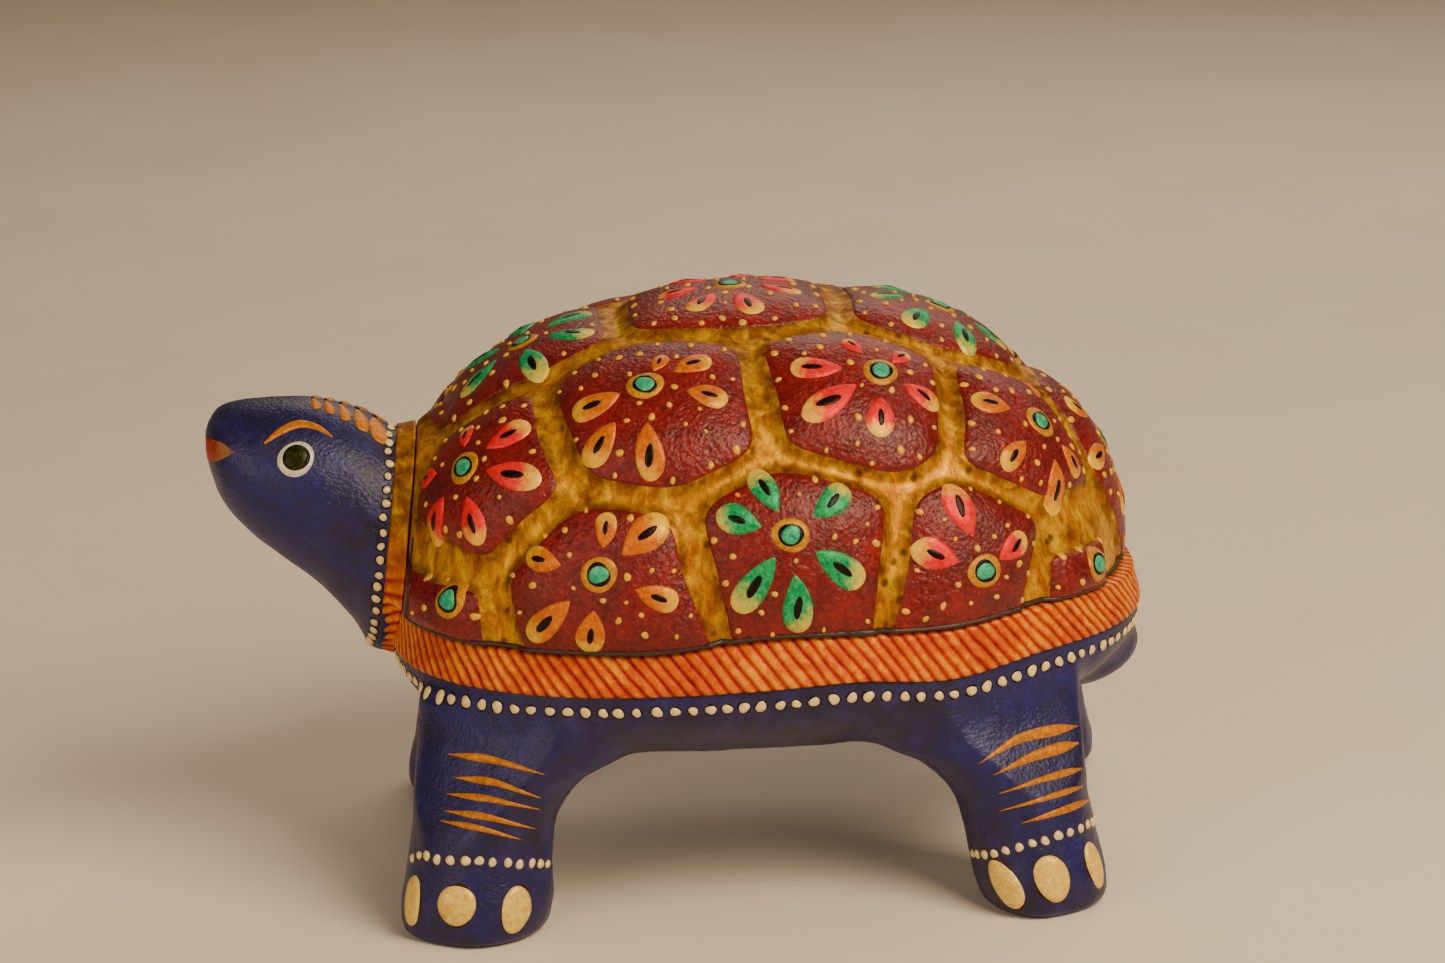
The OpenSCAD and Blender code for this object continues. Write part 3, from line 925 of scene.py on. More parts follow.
def scute_pad(index, rng):
    """One scute's maroon paint over its boss, with the wobbly edge of a hand-held brush."""
    around = 112
    angles = circle(around)
    under = [0.3, 0.6, 0.85, 1.0]
    over = [1.0, 0.985, 0.965, 0.94, *np.linspace(0.91, 0.06, 21)]
    edge_lifts = [-0.05, 0.1, 0.15]
    shares = np.array(under + over)
    lifts = np.full(len(shares), PAD_FILM)
    lifts[: len(under)] = PAD_ROOT
    lifts[len(under) : len(under) + len(edge_lifts)] = edge_lifts
    wobble = np.zeros(around)
    for waves in (3, 5, 8, 13):
        wobble += rng.uniform(0.2, 1.0) / waves * np.cos(waves * angles + rng.uniform(0, 6))
    ways = scute_ways(index, shares, angles)
    seamward = ease(0.0, 0.1, ways[:, :, 2])
    edge = 1 + (0.022 * wobble - 0.006) * seamward * shares[:, None]
    middle = SEED_HEADINGS[index]
    ways = unit(middle + (ways - middle) * edge[..., None])
    rings = lid_surface(ways, np.repeat(lifts, around).reshape(len(lifts), around))
    points, faces = closed_rings(rings)
    name = SCUTE_NAMES[index]
    pad = make_piece(name.replace("scute", "pad"), points, faces, [MAROON], "lid", "maroon_paint", [name])
    cut_ahead(pad.data, LID_GAP + 0.05)
    return pad


# Each flower: its paint, how far its middle is from the scute's (along, up), and its petals as
# [direction, inner end, outer end] in degrees and mm. Direction 0 points to the tail and 90 up the lid.
# On the spine 0 points to the left side and 90 to the tail.
SPINE_FLOWERS = [
    ["green", (2, 4), [[0, 5, 14], [55, 5, 13], [120, 5, 13], [180, 5, 14], [-129, 5, 14], [-69, 5, 14]]],
    ["red", (0, 0), [
        [-35, 5, 13], [15, 5, 13], [66, 5, 12], [118, 5, 12], [169, 5, 13], [-139, 5, 13], [-88, 5, 12],
    ]],
    ["green", (0, 0), [
        [138, 6, 13], [182, 6, 14], [-132, 6, 13], [-80, 6, 12], [-28, 6, 13], [25, 6, 14], [80, 6, 13],
    ]],
    ["orange", (0, 2), [[180, 6, 13], [125, 6, 13], [60, 6, 13], [0, 6, 13], [-60, 6, 12], [-120, 6, 12]]],
]
COSTAL_FLOWERS = [
    ["red", (-2, 2), [
        [125, 4, 9], [50, 4.5, 12], [5, 4.5, 14], [-62, 5, 13], [-115, 5.5, 13], [-163, 6.5, 12],
    ]],
    ["orange", (-1, 5), [
        [70, 3, 7.5], [30, 5, 12], [-8, 6.5, 13.5], [-85, 7, 16], [-125, 8, 16], [-161, 4, 12.5],
    ]],
    ["red", (3.5, 4), [
        [112, 4.5, 9], [30, 3, 7.5], [-41, 4, 11], [-105, 5, 12.5], [-157, 5, 16], [165, 6, 14],
    ]],
    ["orange", (3.5, 1), [[142, 6, 13], [-158, 6.5, 13], [-108, 6.5, 14.5], [-70, 5, 11], [40, 6, 12]]],
]
MARGIN_FLOWERS = [
    [None, (6, 2.5), []],
    ["orange", (1, 1), [
        [85, 4, 9.5], [37, 4.5, 13.5], [-20, 6, 13], [-100, 5.5, 12.5], [-140, 6, 15.5], [171, 6, 12.5],
    ]],
    ["green", (-1, 2), [
        [115, 4, 11.5], [37, 4.5, 12], [-35, 4.5, 13.5], [-87, 6, 15], [-125, 4, 14.5], [162, 4.5, 12],
    ]],
    ["red", (-1.5, -2), [[102, 5.5, 14], [28, 3, 9.5], [155, 4.5, 12.5]]],
    [None, (2.5, 1.2), []],
]


def mirrored_flowers(flowers):
    """The same flowers on the right side, where the chart's first axis points to the head."""
    return [
        [colour, (-along, up), [[180 - way, inner, outer] for way, inner, outer in petals]]
        for colour, (along, up), petals in flowers
    ]


FLOWERS = (
    SPINE_FLOWERS
    + COSTAL_FLOWERS
    + mirrored_flowers(COSTAL_FLOWERS)
    + MARGIN_FLOWERS
    + mirrored_flowers(MARGIN_FLOWERS)
)


def scute_chart(index):
    """A flat chart on a scute: its first axis runs along the lid, or to the left on the spine."""
    middle = SEED_HEADINGS[index]
    nearby = [middle, unit(middle + [0, 0.02, 0.02]), unit(middle + [0.02, 0.01, -0.01])]
    origin, second, third = dome_point(np.array(nearby), PAD_RISE)
    normal = np.cross(second - origin, third - origin)
    normal = normal * np.sign(normal @ (origin - [0, RIM_Y, SEAM_Z]))
    on_spine = index < len(SPINE_SEEDS)
    right = np.array([1.0, 0, 0]) if on_spine else np.cross([0, 0, 1], normal)
    return FlatChart(origin, normal, right)


def petal_tone(inner, outer, turn):
    """Colour at the inner end and pale at the outer end, with the change turned a little."""
    way = np.asarray(outer) - np.asarray(inner)
    length = np.linalg.norm(way)
    c, s = math.cos(turn), math.sin(turn)
    tilted = np.array([c * way[0] - s * way[1], s * way[0] + c * way[1]]) / length**2
    return lambda flat: (flat - inner) @ tilted


PETAL_H = 0.3
SLIT_BASE = 0.28


def scute_flower(index, surface, rng):
    """One scute's flower: petals with dark slits round a rosette, and cream dots about it."""
    colour, shift, petals = FLOWERS[index]
    chart = scute_chart(index)
    work = Brushwork(surface)
    heart = np.array(shift, float)
    taken = [(heart, 3.6)]
    for way, inner, outer in petals:
        way = math.radians(way + rng.uniform(-4, 4))
        ray = np.array([math.cos(way), math.sin(way)])
        start, end = heart + ray * inner, heart + ray * (outer + rng.uniform(-0.4, 0.4))
        length = np.linalg.norm(end - start)
        wide = min(0.62 * length + 0.3, 5.4) * rng.uniform(0.92, 1.08)
        tone = petal_tone(start, end, math.radians(rng.uniform(-35, 35)))
        work.dab(chart, petal(start, end, wide, rng), PETAL_H, colour, tone)
        seed = start + (end - start) * rng.uniform(0.52, 0.6)
        slit = blot(0.2 * length, 0.075 * length, rng, seed, way + rng.uniform(-0.25, 0.25), 0.05)
        work.dab(chart, slit, 0.1, "black", base=SLIT_BASE)
        for share in (0.25, 0.55, 0.85):
            taken.append((start + (end - start) * share, wide * 0.5 + 0.5))
    work.dab(chart, blot(3.0, 2.8, rng, heart, 0, 0.04, 26), PETAL_H, "ring")
    work.dab(chart, blot(2.0, 1.9, rng, heart, 0, 0.06, 22), 0.06, "black", base=PETAL_H)
    work.dab(chart, blot(1.6, 1.45, rng, heart, 0, 0.08, 18), 0.22, "teal", base=PETAL_H)
    scatter_dots(work, index, chart, taken, rng)
    name = SCUTE_NAMES[index].replace("scute", "flower")
    return work.piece(name, "lid", "orange_paint")


def scatter_dots(work, index, chart, taken, rng):
    """Cream dots along the scute's border and between its petals."""
    spots = []
    angles = circle(24) + rng.uniform(-0.1, 0.1, 24)
    border = scute_ways(index, [0.9], angles)[0]
    inner = scute_ways(index, np.linspace(0.12, 0.84, 9), rng.uniform(0, 2 * math.pi, 40)).reshape(-1, 3)
    rng.shuffle(inner)
    for number, way in enumerate(np.concatenate([border, inner])):
        point = dome_point(way, PAD_RISE)
        if point[2] < SEAM_Z + 1.2 or behind_collar(point) < 1.5:
            continue
        spot = chart.flat(point) + rng.uniform(-0.3, 0.3, 2)
        if any(np.linalg.norm(spot - place) < room for place, room in taken):
            continue
        apart = 4.2 if number < len(border) else 3.0
        if any(np.linalg.norm(spot - other) < apart for other in spots):
            continue
        spots.append(spot)
        size = rng.uniform(0.38, 0.68)
        tall = size * rng.uniform(0.8, 1.0)
        dot = blot(size, tall, rng, spot, rng.uniform(0, 3), 0.1, 10)
        work.dab(chart, dot, 0.26, "dot")


def behind_collar(points):
    """How far points are behind the collar's back face."""
    return (points - COLLAR_MIDDLE) @ COLLAR_BACK


def front_edge_bearing(rise, gap):
    """The bearing on the left side at which the lid's surface is this gap behind the collar."""
    low, high = -88.0, -20.0
    for _ in range(24):
        middle = (low + high) / 2
        ahead = behind_collar(lid_surface(heading(middle, rise), 0.0)) < gap
        low, high = (middle, high) if ahead else (low, middle)
    return low


HOOK_RISE = 15.0


def seam_line():
    """The dark line along the lid's lower edge, hooked up beside the collar: painted shade in the parting
    gap.
    """
    hook = [[front_edge_bearing(rise, 0.75), rise] for rise in np.linspace(HOOK_RISE, 0.5, 36)]
    start = hook[-1][0]
    level = [[bearing, 0.35] for bearing in np.linspace(start + 0.4, 180 - start - 0.4, 860)]
    route = np.array(hook + level + [[180 - bearing, rise] for bearing, rise in reversed(hook)])
    path = lid_surface(heading(route[:, 0], route[:, 1]), np.full(len(route), 0.1))
    thick = 0.4 + 0.14 * ripple(path, 5) + 0.08 * ripple(path, 1.5)
    thick *= 0.35 + 0.65 * (1 - route[:, 1] / HOOK_RISE)
    along = unit(np.gradient(path, axis=0))
    outward = unit(path - [0, RIM_Y, SEAM_Z - 12])
    side = unit(np.cross(along, outward))
    turns = circle(10)[:, None]
    ring = np.cos(turns) * side[:, None] + np.sin(turns) * np.cross(side, along)[:, None]
    points, faces = closed_rings(path[:, None] + ring * thick[:, None, None])
    return make_piece("seam_line", points, faces, [SEAM], "lid", "gold_paint")


# ---------------------------------------------------------------- the rim and the collar
def oval_at(half_width, half_length, t):
    """The plan outline at angle t in radians: squarer in front and rounder behind."""
    m = np.where(np.sin(t) < 0, FRONT_N, REAR_N)
    return half_width * spow(np.cos(t), 2 / m), RIM_Y + half_length * spow(np.sin(t), 2 / m)


def even_turns(half_width, half_length, count):
    """Angles that divide the plan outline into equal lengths, and the length up to each of them."""
    t = np.linspace(0, 2 * math.pi, 6001)
    x, y = oval_at(half_width, half_length, t)
    gone = length_along(rows(x, y))
    lengths = np.linspace(0, gone[-1], count, endpoint=False)
    return np.interp(lengths, gone, t), lengths, gone[-1]


def stroke_ridges(phase):
    """1 on the surface and 0 in narrow grooves that are one apart."""
    away = np.abs(phase - np.round(phase))
    return 1 - np.exp(-((away / 0.17) ** 2))


def shade_and_highlight_tone(ridge):
    """The orange paint's tone: dark in the grooves as painted shade and light on the ridges as painted
    highlight.
    """
    return 0.15 + 0.75 * ridge


def shouldered(v, sharpness):
    """1 in the middle and 0 at both ends of 0 to 1, with shoulders that are squarer when sharp."""
    return (1 - abs(2 * v - 1) ** sharpness) ** 0.5


def hoop(rings):
    """Points and faces of a ring whose section closes on itself."""
    rings = np.asarray(rings, float)
    count, around = rings.shape[:2]
    total = count * around
    faces = [tuple(i % total for i in f) for f in grid_faces(count + 1, around)]
    return rings.reshape(-1, 3), faces


STROKE_PITCH = 2.2
STROKE_SLANT = 0.68
GROOVE_DEPTH = 0.3


def rim_band():
    """The orange rim, pressed all over with slanted strokes."""
    around, levels = 1600, 22
    turns, lengths, whole = even_turns(TUB_HW + RIM_T, TUB_HL + RIM_T, around)
    pitch = whole / round(whole / STROKE_PITCH)
    wander = 0.22 * ripple(rows(40 * np.cos(turns), 40 * np.sin(turns), 0), 9)
    rings, tones = [], []
    for v in np.linspace(0, 1, levels):
        z = RIM_Z + 0.15 + (RIM_H - 0.3) * v
        swell = shouldered(v, 16)
        bend = 0.12 * ripple(rows(40 * np.cos(turns), 40 * np.sin(turns), 3 * v), 4, shift=3)
        ridge = stroke_ridges((lengths + STROKE_SLANT * (z - RIM_Z)) / pitch + wander + bend)
        grow = RIM_T * swell - GROOVE_DEPTH * (1 - ridge) * swell - RIM_FLARE * v
        place = rows(*oval_at(TUB_HW, TUB_HL, turns), z)
        outer = rows(*oval_at(TUB_HW + 1, TUB_HL + 1, turns), z)
        grow = grow + 0.1 * ripple(place, 7)
        rings.append(place + (outer - place) * grow[:, None])
        # The tone darkens the grooves as painted shade and lightens the ridges as painted highlight.
        tones.append(shade_and_highlight_tone(ridge))
    inside = [rows(*oval_at(TUB_HW - 3, TUB_HL - 3, turns), z) for z in (SEAM_Z - 1.2, RIM_Z + 1.2)]
    points, faces = hoop(settle(np.array(rings + inside)))
    tone = np.concatenate(tones + [np.full(2 * around, 0.2)])
    return make_piece("rim_strokes", points, faces, [ORANGE], "body", "orange_paint", ["rim_band"], tone)


def collar_ring(t, depth, grow):
    """Points of the collar at angles t: depth behind its back face along its tilted axis."""
    across, high = (NECK_HW + grow) * np.cos(t), (NECK_HH + grow) * np.sin(t)
    return COLLAR_MIDDLE + rows(across, 0, 0) + depth * COLLAR_BACK + high[..., None] * COLLAR_UP


def lid_reach_round_collar(t, lid_surface_tree):
    """How far out of the neck's oval the lid's surface is at the collar's back face, at angles t."""
    found = []
    for angle in t:
        start = collar_ring(angle, 0.5, 0)
        way = unit(collar_ring(angle, 0.5, 1) - start)
        hit = lid_surface_tree.ray_cast(Vector(start + way * 15), Vector(-way), 18)[0]
        found.append(np.nan if hit is None else float((np.array(hit) - start) @ way))
    found = np.array(found)
    known = ~np.isnan(found)
    filled = np.interp(np.arange(len(t)), np.flatnonzero(known), found[known], period=len(t))
    below_the_lid = np.sin(t) < -0.42
    filled[below_the_lid] = 0.8
    blur = 12
    kernel = np.hanning(2 * blur + 1) / np.hanning(2 * blur + 1).sum()
    return np.convolve(np.concatenate([filled[-blur:], filled, filled[:blur]]), kernel, "valid")


def collar(lid_surface_tree):
    """The collar round the root of the neck, flaring out to the lid: gold above and stroked below."""
    around, levels = 480, 14
    t = circle(around)
    flare = np.clip(lid_reach_round_collar(t, lid_surface_tree) - 0.1, 0.3, 4.5)
    mean_radius = (NECK_HH + NECK_HW) / 2
    rings, tones = [], []
    for v in np.linspace(0, 1, levels):
        depth = -0.05 - (COLLAR_T + 0.4) * v
        swell = shouldered(v, 10)
        low = 1 - ease(-0.25, 0.2, np.sin(t))
        ridge = 1 - low * (1 - stroke_ridges(mean_radius * t / STROKE_PITCH + 0.8 * v))
        place = collar_ring(t, depth, 0)
        skirt = flare * (1 - v) ** 1.3 + 0.12 * v
        grow = skirt - 0.2 * (1 - swell) - 0.22 * (1 - ridge) + 0.12 * ripple(place, 6)
        rings.append(collar_ring(t, depth, grow))
        # The tone darkens the grooves as painted shade and lightens the ridges as painted highlight.
        tones.append(shade_and_highlight_tone(ridge))
    points, faces = closed_rings(rings)
    tone = np.concatenate(tones + [[0.5, 0.5]])
    return make_piece("collar", points, faces, [COLLAR], "body", "orange_paint", ["neck_collar"], tone)


# ---------------------------------------------------------------- the blue skin
def torso_rings(around=160):
    """The outside from the belly up to the parting line, then the hollow from its mouth to its floor."""
    t = circle(around)
    rings = []
    for share in np.linspace(0, 1, 20):
        out = (1 - (1 - share) ** 2.2) ** (1 / 2.2)
        wide, long = TUB_HW * (0.52 + 0.48 * out), TUB_HL * (0.55 + 0.45 * out)
        cheek = 1.5 * ease(0.2, 0.85, share)
        rings.append(rows(*oval_at(wide + cheek, long + cheek, t), BELLY_Z + (RIM_Z - BELLY_Z) * share))
    top = SEAM_Z - 0.15
    rings.append(rows(*oval_at(TUB_HW - RIM_FLARE, TUB_HL - RIM_FLARE, t), top))
    for share in np.linspace(1, 0, 16):
        out = 0.8 + 0.2 * (1 - (1 - share) ** 2.4) ** (1 / 2.4)
        x, y = HOLLOW_W / 2 * out * np.cos(t), RIM_Y + HOLLOW_L / 2 * out * np.sin(t)
        rings.append(rows(x, y, BELLY_Z + TUB_FLOOR + (top - BELLY_Z - TUB_FLOOR) * share))
    return rings


# A leg's radius by height, as [share of the way up, share of the foot's radius].
LEG_SHAPE = [
    [0, 0.87], [0.03, 0.97], [0.12, 1], [0.26, 0.94],
    [0.45, 0.92], [0.7, 0.98], [0.86, 1.05], [1, 1.12],
]


def foot_at(side, rear):
    """The middle of a foot's sole. The right feet stand a little further back."""
    y, stagger = (REAR_FOOT_Y, REAR_STAGGER) if rear else (-FRONT_FOOT_Y, FRONT_STAGGER)
    return np.array([side * FOOT_X, y + (stagger if side < 0 else 0), 0.0])


def leg_name(start, side, rear):
    """The name of something that each leg has one of."""
    return f"{start}_{'rear' if rear else 'front'}_{'left' if side > 0 else 'right'}"


def hip_at(side, rear):
    """Where a leg's axis reaches the rim: further in than its foot."""
    return foot_at(side, rear) + [-HIP_IN * side, -HIP_IN if rear else HIP_IN, RIM_Z]


def leg_rings(side, rear, around=72):
    """A leg from its sole up into the body."""
    t = circle(around)
    heights, radii = np.array(LEG_SHAPE).T
    foot, hip = foot_at(side, rear), hip_at(side, rear)
    rings = []
    for share in np.concatenate([[0, 0.004, 0.012, 0.025], np.linspace(0.045, 0.93, 36)]):
        radius = FOOT_R * np.interp(share, heights, radii)
        radius *= 1 - 0.06 * max(0, 1 - share / 0.02)
        ring = foot + (hip - foot) * share + rows(radius * np.cos(t), radius * np.sin(t), 0)
        rings.append(drawn_under_rim(belly_curve(ring, foot, hip, share)))
    return rings


def drawn_under_rim(points):
    """Draws a leg in sideways as it rises, so that it meets the body flush under the rim."""
    x, y, z = points.T
    n = np.where(y < RIM_Y, FRONT_N, REAR_N)
    out = (np.abs(x / (TUB_HW + 1.5)) ** n + np.abs((y - RIM_Y) / (TUB_HL + 1.5)) ** n) ** (1 / n)
    allowed = 1 + 9 * (1 - ease(8, 37, z)) / TUB_HW
    drawn = np.minimum(1, allowed / out)
    return rows(x * drawn**1.5, RIM_Y + (y - RIM_Y) * drawn**0.4, z)


ARMPIT_R = 11.0


def belly_curve(ring, foot, hip, share):
    """Widens a leg towards the middle of the animal where it runs into the belly."""
    middle = foot + (hip - foot) * share
    up = np.clip((ring[:, 2] - (BELLY_Z + 1 - ARMPIT_R)) / ARMPIT_R, 0, 0.99)
    reach = ARMPIT_R * (1 - np.sqrt(1 - up**2))
    inward = np.sign(RIM_Y - foot[1])
    facing = np.clip((ring[:, 1] - middle[1]) * inward / FOOT_R, 0, 1)
    moved = ring.copy()
    moved[:, 1] += inward * reach * facing
    if foot[1] > RIM_Y:
        # The rear legs are cut back in front, most of all at the sole.
        moved[:, 1] -= inward * 3.7 * facing * np.clip(1 - ring[:, 2] / 27, 0, 1)
    return moved


TAIL_HALF = np.array([11.0, 15.2, 7.5])
TAIL_MIDDLE = np.array([0, OVERALL_L / 2 - 0.2 - TAIL_HALF[1], RIM_Z - TAIL_HALF[2]])


def tail_rings(around=72):
    """The egg-shaped lobe under the rear of the rim."""
    t = circle(around)
    rings = []
    for turn in np.radians(np.linspace(-84, 84, 30)):
        ring = rows(math.cos(turn) * np.cos(t), math.sin(turn), math.cos(turn) * np.sin(t))
        rings.append(TAIL_MIDDLE + TAIL_HALF * ring)
    return rings


def remeshed(name, solids, voxel):
    """A mesh that is one skin over several overlapping solids, with faces about voxel mm wide."""
    points, faces = [], []
    for rings in solids:
        more, sides = closed_rings(rings)
        faces += shifted(sides, len(points))
        points += list(more)
    mesh = mesh_from_mm(name, points, faces)
    face_outwards(mesh)
    rough = add_object(name, mesh)
    remesh = rough.modifiers.new("skin", "REMESH")
    remesh.mode = "VOXEL"
    remesh.voxel_size = voxel * MM
    skin = bpy.data.meshes.new_from_object(rough.evaluated_get(bpy.context.evaluated_depsgraph_get()))
    bpy.data.objects.remove(rough)
    bpy.data.meshes.remove(mesh)
    return skin


class Skin:
    """A mesh held as arrays, for smoothing by hand."""

    def __init__(self, mesh):
        self.mesh = mesh
        count = len(mesh.vertices)
        self.points = np.empty(count * 3)
        mesh.vertices.foreach_get("co", self.points)
        self.points = self.points.reshape(-1, 3) / MM
        edges = np.empty(len(mesh.edges) * 2, dtype=np.int64)
        mesh.edges.foreach_get("vertices", edges)
        self.edges = edges.reshape(-1, 2)
        self.valence = np.bincount(edges, minlength=count)[:, None]

    def normals(self):
        """The outward direction at each point. The mesh takes on the points as they now are."""
        self.mesh.vertices.foreach_set("co", (self.points * MM).ravel())
        self.mesh.update()
        found = np.empty(len(self.points) * 3)
        self.mesh.vertex_normals.foreach_get("vector", found)
        return found.reshape(-1, 3)

    def pulls(self):
        """From each point to the middle of its neighbours."""
        total = np.zeros_like(self.points)
        for axis in range(3):
            values = self.points[:, axis]
            a, b = self.edges.T
            total[:, axis] = np.bincount(a, values[b], len(values)) + np.bincount(b, values[a], len(values))
        return total / self.valence - self.points

    def smooth(self, rounds):
        """Draws each point half-way to the middle of its neighbours, again and again."""
        for _ in range(rounds):
            self.points += 0.5 * self.pulls()

    def fill_creases(self, rounds, weight):
        """Moves only hollow places outwards, as paste smoothed into a joint does."""
        for number in range(rounds):
            if number % 8 == 0:
                normals = self.normals()
            pulls = self.pulls()
            hollow = ((pulls * normals).sum(1) > 0) * weight
            self.points += 0.8 * pulls * hollow[:, None]


SKIN_VOXEL = 0.7
CREASE_ROUNDS = 110


def body_skin():
    """The torso, legs and tail as one skin, smoothed together where they meet."""
    solids = [torso_rings(), *[leg_rings(side, rear) for side, rear in LEGS], tail_rings()]
    skin = Skin(remeshed("body_skin", solids, SKIN_VOXEL))
    skin.smooth(4)
    x, y, z = skin.points.T
    over_hollow = (np.abs(x) < HOLLOW_W / 2 + 1) & (np.abs(y - RIM_Y) < HOLLOW_L / 2 + 1)
    in_hollow = over_hollow & (z > BELLY_Z + TUB_FLOOR - 1)
    weight = np.where(in_hollow, 0.0, 1.0) * (1 - ease(34, 38.5, z)) * ease(6, 12, z)
    skin.fill_creases(CREASE_ROUNDS, weight)
    normals = skin.normals()
    lumps = 0.2 * ripple(skin.points, 9) + 0.06 * ripple(skin.points, 2.6, shift=5)
    flat_sole = ease(0.3, 2.0, skin.points[:, 2])
    skin.points += normals * (lumps * flat_sole)[:, None]
    skin.points[:, 2] = np.maximum(skin.points[:, 2], 0)
    skin.points = settle(skin.points)
    return skin


LEG_CUT_Z = 24.0
TAIL_REGION = 5


def skin_regions(centres):
    """Which part each face belongs to: 0 the torso, 1 to 4 the legs and 5 the tail."""
    x, y, z = centres.T
    region = np.zeros(len(centres), dtype=int)
    for number, (side, rear) in enumerate(LEGS, 1):
        foot, hip = foot_at(side, rear), hip_at(side, rear)
        axis = foot + (hip - foot) * np.clip(z / RIM_Z, 0, 1)[:, None]
        near = np.hypot(x - axis[:, 0], y - axis[:, 1]) < FOOT_R * 1.6
        region[near & (z < LEG_CUT_Z)] = number
    tail_y = TAIL_MIDDLE[1] + 4.0
    egg = (((centres - TAIL_MIDDLE) / (TAIL_HALF + 0.6)) ** 2).sum(1)
    region[(region == 0) & (egg < 1.15) & (y > tail_y) & (z < RIM_Z - 1)] = TAIL_REGION
    return region


def skin_piece(name, skin, normals, polygons, region, number, replaced, hollow=None):
    """One region of a skin, closed inside. Its edge keeps the whole skin's normals, so no line shows."""
    faces = polygons[region == number]
    used, inverse = np.unique(faces, return_inverse=True)
    faces = inverse.reshape(faces.shape)
    points = skin.points[used]
    own = {(int(a), int(b)) for face in faces for a, b in zip(face, np.roll(face, -1))}
    rim = [(a, b) for a, b in own if (b, a) not in own]
    caps, extra = [], []
    for loop in edge_loops(rim):
        centre = points[loop].mean(0)
        index = len(points) + len(extra)
        extra.append(centre)
        caps += [(b, a, index) for a, b in zip(loop, loop[1:] + loop[:1])]
    all_points = np.concatenate([points, np.array(extra).reshape(-1, 3)])
    sides = [tuple(int(i) for i in f) for f in faces]
    chosen = np.zeros(len(sides) + len(caps), dtype=int)
    if hollow is not None:
        centres = points[faces].mean(1)
        chosen[: len(sides)] = hollow(centres)
    made = dict(replaced=replaced, chosen=chosen, turned=True)
    piece = make_piece(name, all_points, sides + caps, [BLUE, PASTE], "body", "blue_paint", **made)
    kept = normals[used]
    corner_normals = [kept[i] for f in sides for i in f]
    corner_normals += [np.zeros(3)] * (3 * len(caps))
    piece.data.normals_split_custom_set([tuple(n) for n in corner_normals])
    return piece


def edge_loops(edges):
    """Directed edges joined into closed loops of points."""
    following = {}
    for a, b in sorted(edges):
        following.setdefault(a, []).append(b)
    loops = []
    while following:
        start = min(following)
        loop, at = [], start
        while at in following:
            loop.append(at)
            ahead = following[at].pop()
            if not following[at]:
                del following[at]
            at = ahead
        loops.append(loop)
    return loops


def body_pieces():
    """The torso, the four legs and the tail as separate pieces of one skin."""
    skin = body_skin()
    normals = skin.normals()
    polygons = np.array([tuple(p.vertices) for p in skin.mesh.polygons])
    centres = skin.points[polygons].mean(1)
    region = skin_regions(centres)

    def in_hollow(points):
        """1 for faces in the hollow and on its mouth, which are bare, and 0 elsewhere."""
        across = points[:, 0] / (HOLLOW_W / 2 + 1.5)
        along = (points[:, 1] - RIM_Y) / (HOLLOW_L / 2 + 1.5)
        inside = across**2 + along**2 < 1
        above = points[:, 2] > SEAM_Z - 3.5
        return ((inside & (points[:, 2] > BELLY_Z + TUB_FLOOR - 2)) | above).astype(int)

    parts = (skin, normals, polygons, region)
    pieces = [skin_piece("torso", *parts, 0, ["torso_tub"], in_hollow)]
    for number, (side, rear) in enumerate(LEGS, 1):
        replaced = [leg_name("leg", side, rear)]
        pieces.append(skin_piece(leg_name("limb", side, rear), *parts, number, replaced))
    pieces.append(skin_piece("tail_lobe", *parts, TAIL_REGION, ["tail"]))
    return pieces


# Sections of the head: [distance behind the nose, top and bottom above the parting line, half width, lean]
HEAD_SECTIONS = [
    [23.5, 28, -5.6, 14.8, 6],
    [18, 30.1, -0.2, 14.2, 3],
    [11.5, 30.7, 4.9, 13.2, 1],
    [6, 30.5, 9.6, 11.3, 0],
    [2.5, 29.6, 14, 8.6, 0],
    [0.8, 27.6, 18.7, 5.4, 0],
    [0, 25.5, 22, 2.4, 0],
]


def head():
    """The neck and head, from inside the collar to the nose."""
    around = 96
    t = circle(around)
    neck_y = COLLAR_Y - COLLAR_T / math.cos(LEAN)
    neck_top = NECK_HH * math.cos(LEAN)
    root = [COLLAR_Z + neck_top - SEAM_Z, COLLAR_Z - neck_top - SEAM_Z, NECK_HW, COLLAR_LEAN]
    sections = [[neck_y + 2.5 + OVERALL_L / 2, *root], [neck_y + OVERALL_L / 2, *root]] + HEAD_SECTIONS
    sections = np.array(sections).T
    back, top, _, wide, _ = np.diff(sections)
    key = np.concatenate([[0], np.cumsum(np.hypot(back, wide) + 0.5 * np.abs(top))])
    rings = []
    for at in np.linspace(0, key[-1], 90):
        y, high, low, half, slope = [float(curve_through(key, values, np.array(at))) for values in sections]
        up = (high - low) / 2 * np.sin(t)
        y = y - OVERALL_L / 2 + up * math.tan(math.radians(slope))
        rings.append(rows(half * np.cos(t), y, SEAM_Z + (high + low) / 2 + up))
    points, faces = closed_rings(rings)
    points[:, 1] = np.maximum(points[:, 1], -OVERALL_L / 2)
    piece = make_piece("neck_and_head", points, faces, [BLUE], "body", "blue_paint", ["head"])
    skin = Skin(piece.data)
    fixed = points[:, 1] > neck_y + 0.5
    before = skin.points.copy()
    skin.smooth(3)
    skin.points += skin.normals() * (0.12 * ripple(skin.points, 8))[:, None]
    skin.points[fixed] = before[fixed]
    skin.normals()
    return piece


# ---------------------------------------------------------------- painted details on the blue skin
def neck_axis(y):
    """The middle of the head and neck at each distance along the animal."""
    return rows(0, y, np.interp(y, [-75, -52, -42], [70, 64, 55]))


NECK_CHART_R = 12.0


def neck_chart(side):
    """A chart round the neck and head that starts on top and grows towards one side."""
    return RoundChart(neck_axis, (0, 0, 1), (side, 0, 0), NECK_CHART_R, 40)


def round_the_neck(points):
    """Chart positions of points given as [distance from the middle plane, y, z]."""
    points = np.asarray(points, float)
    middle = neck_axis(points[:, 1])
    angle = np.arctan2(points[:, 0], points[:, 2] - middle[:, 2])
    return np.stack([angle * NECK_CHART_R, points[:, 1]], -1)


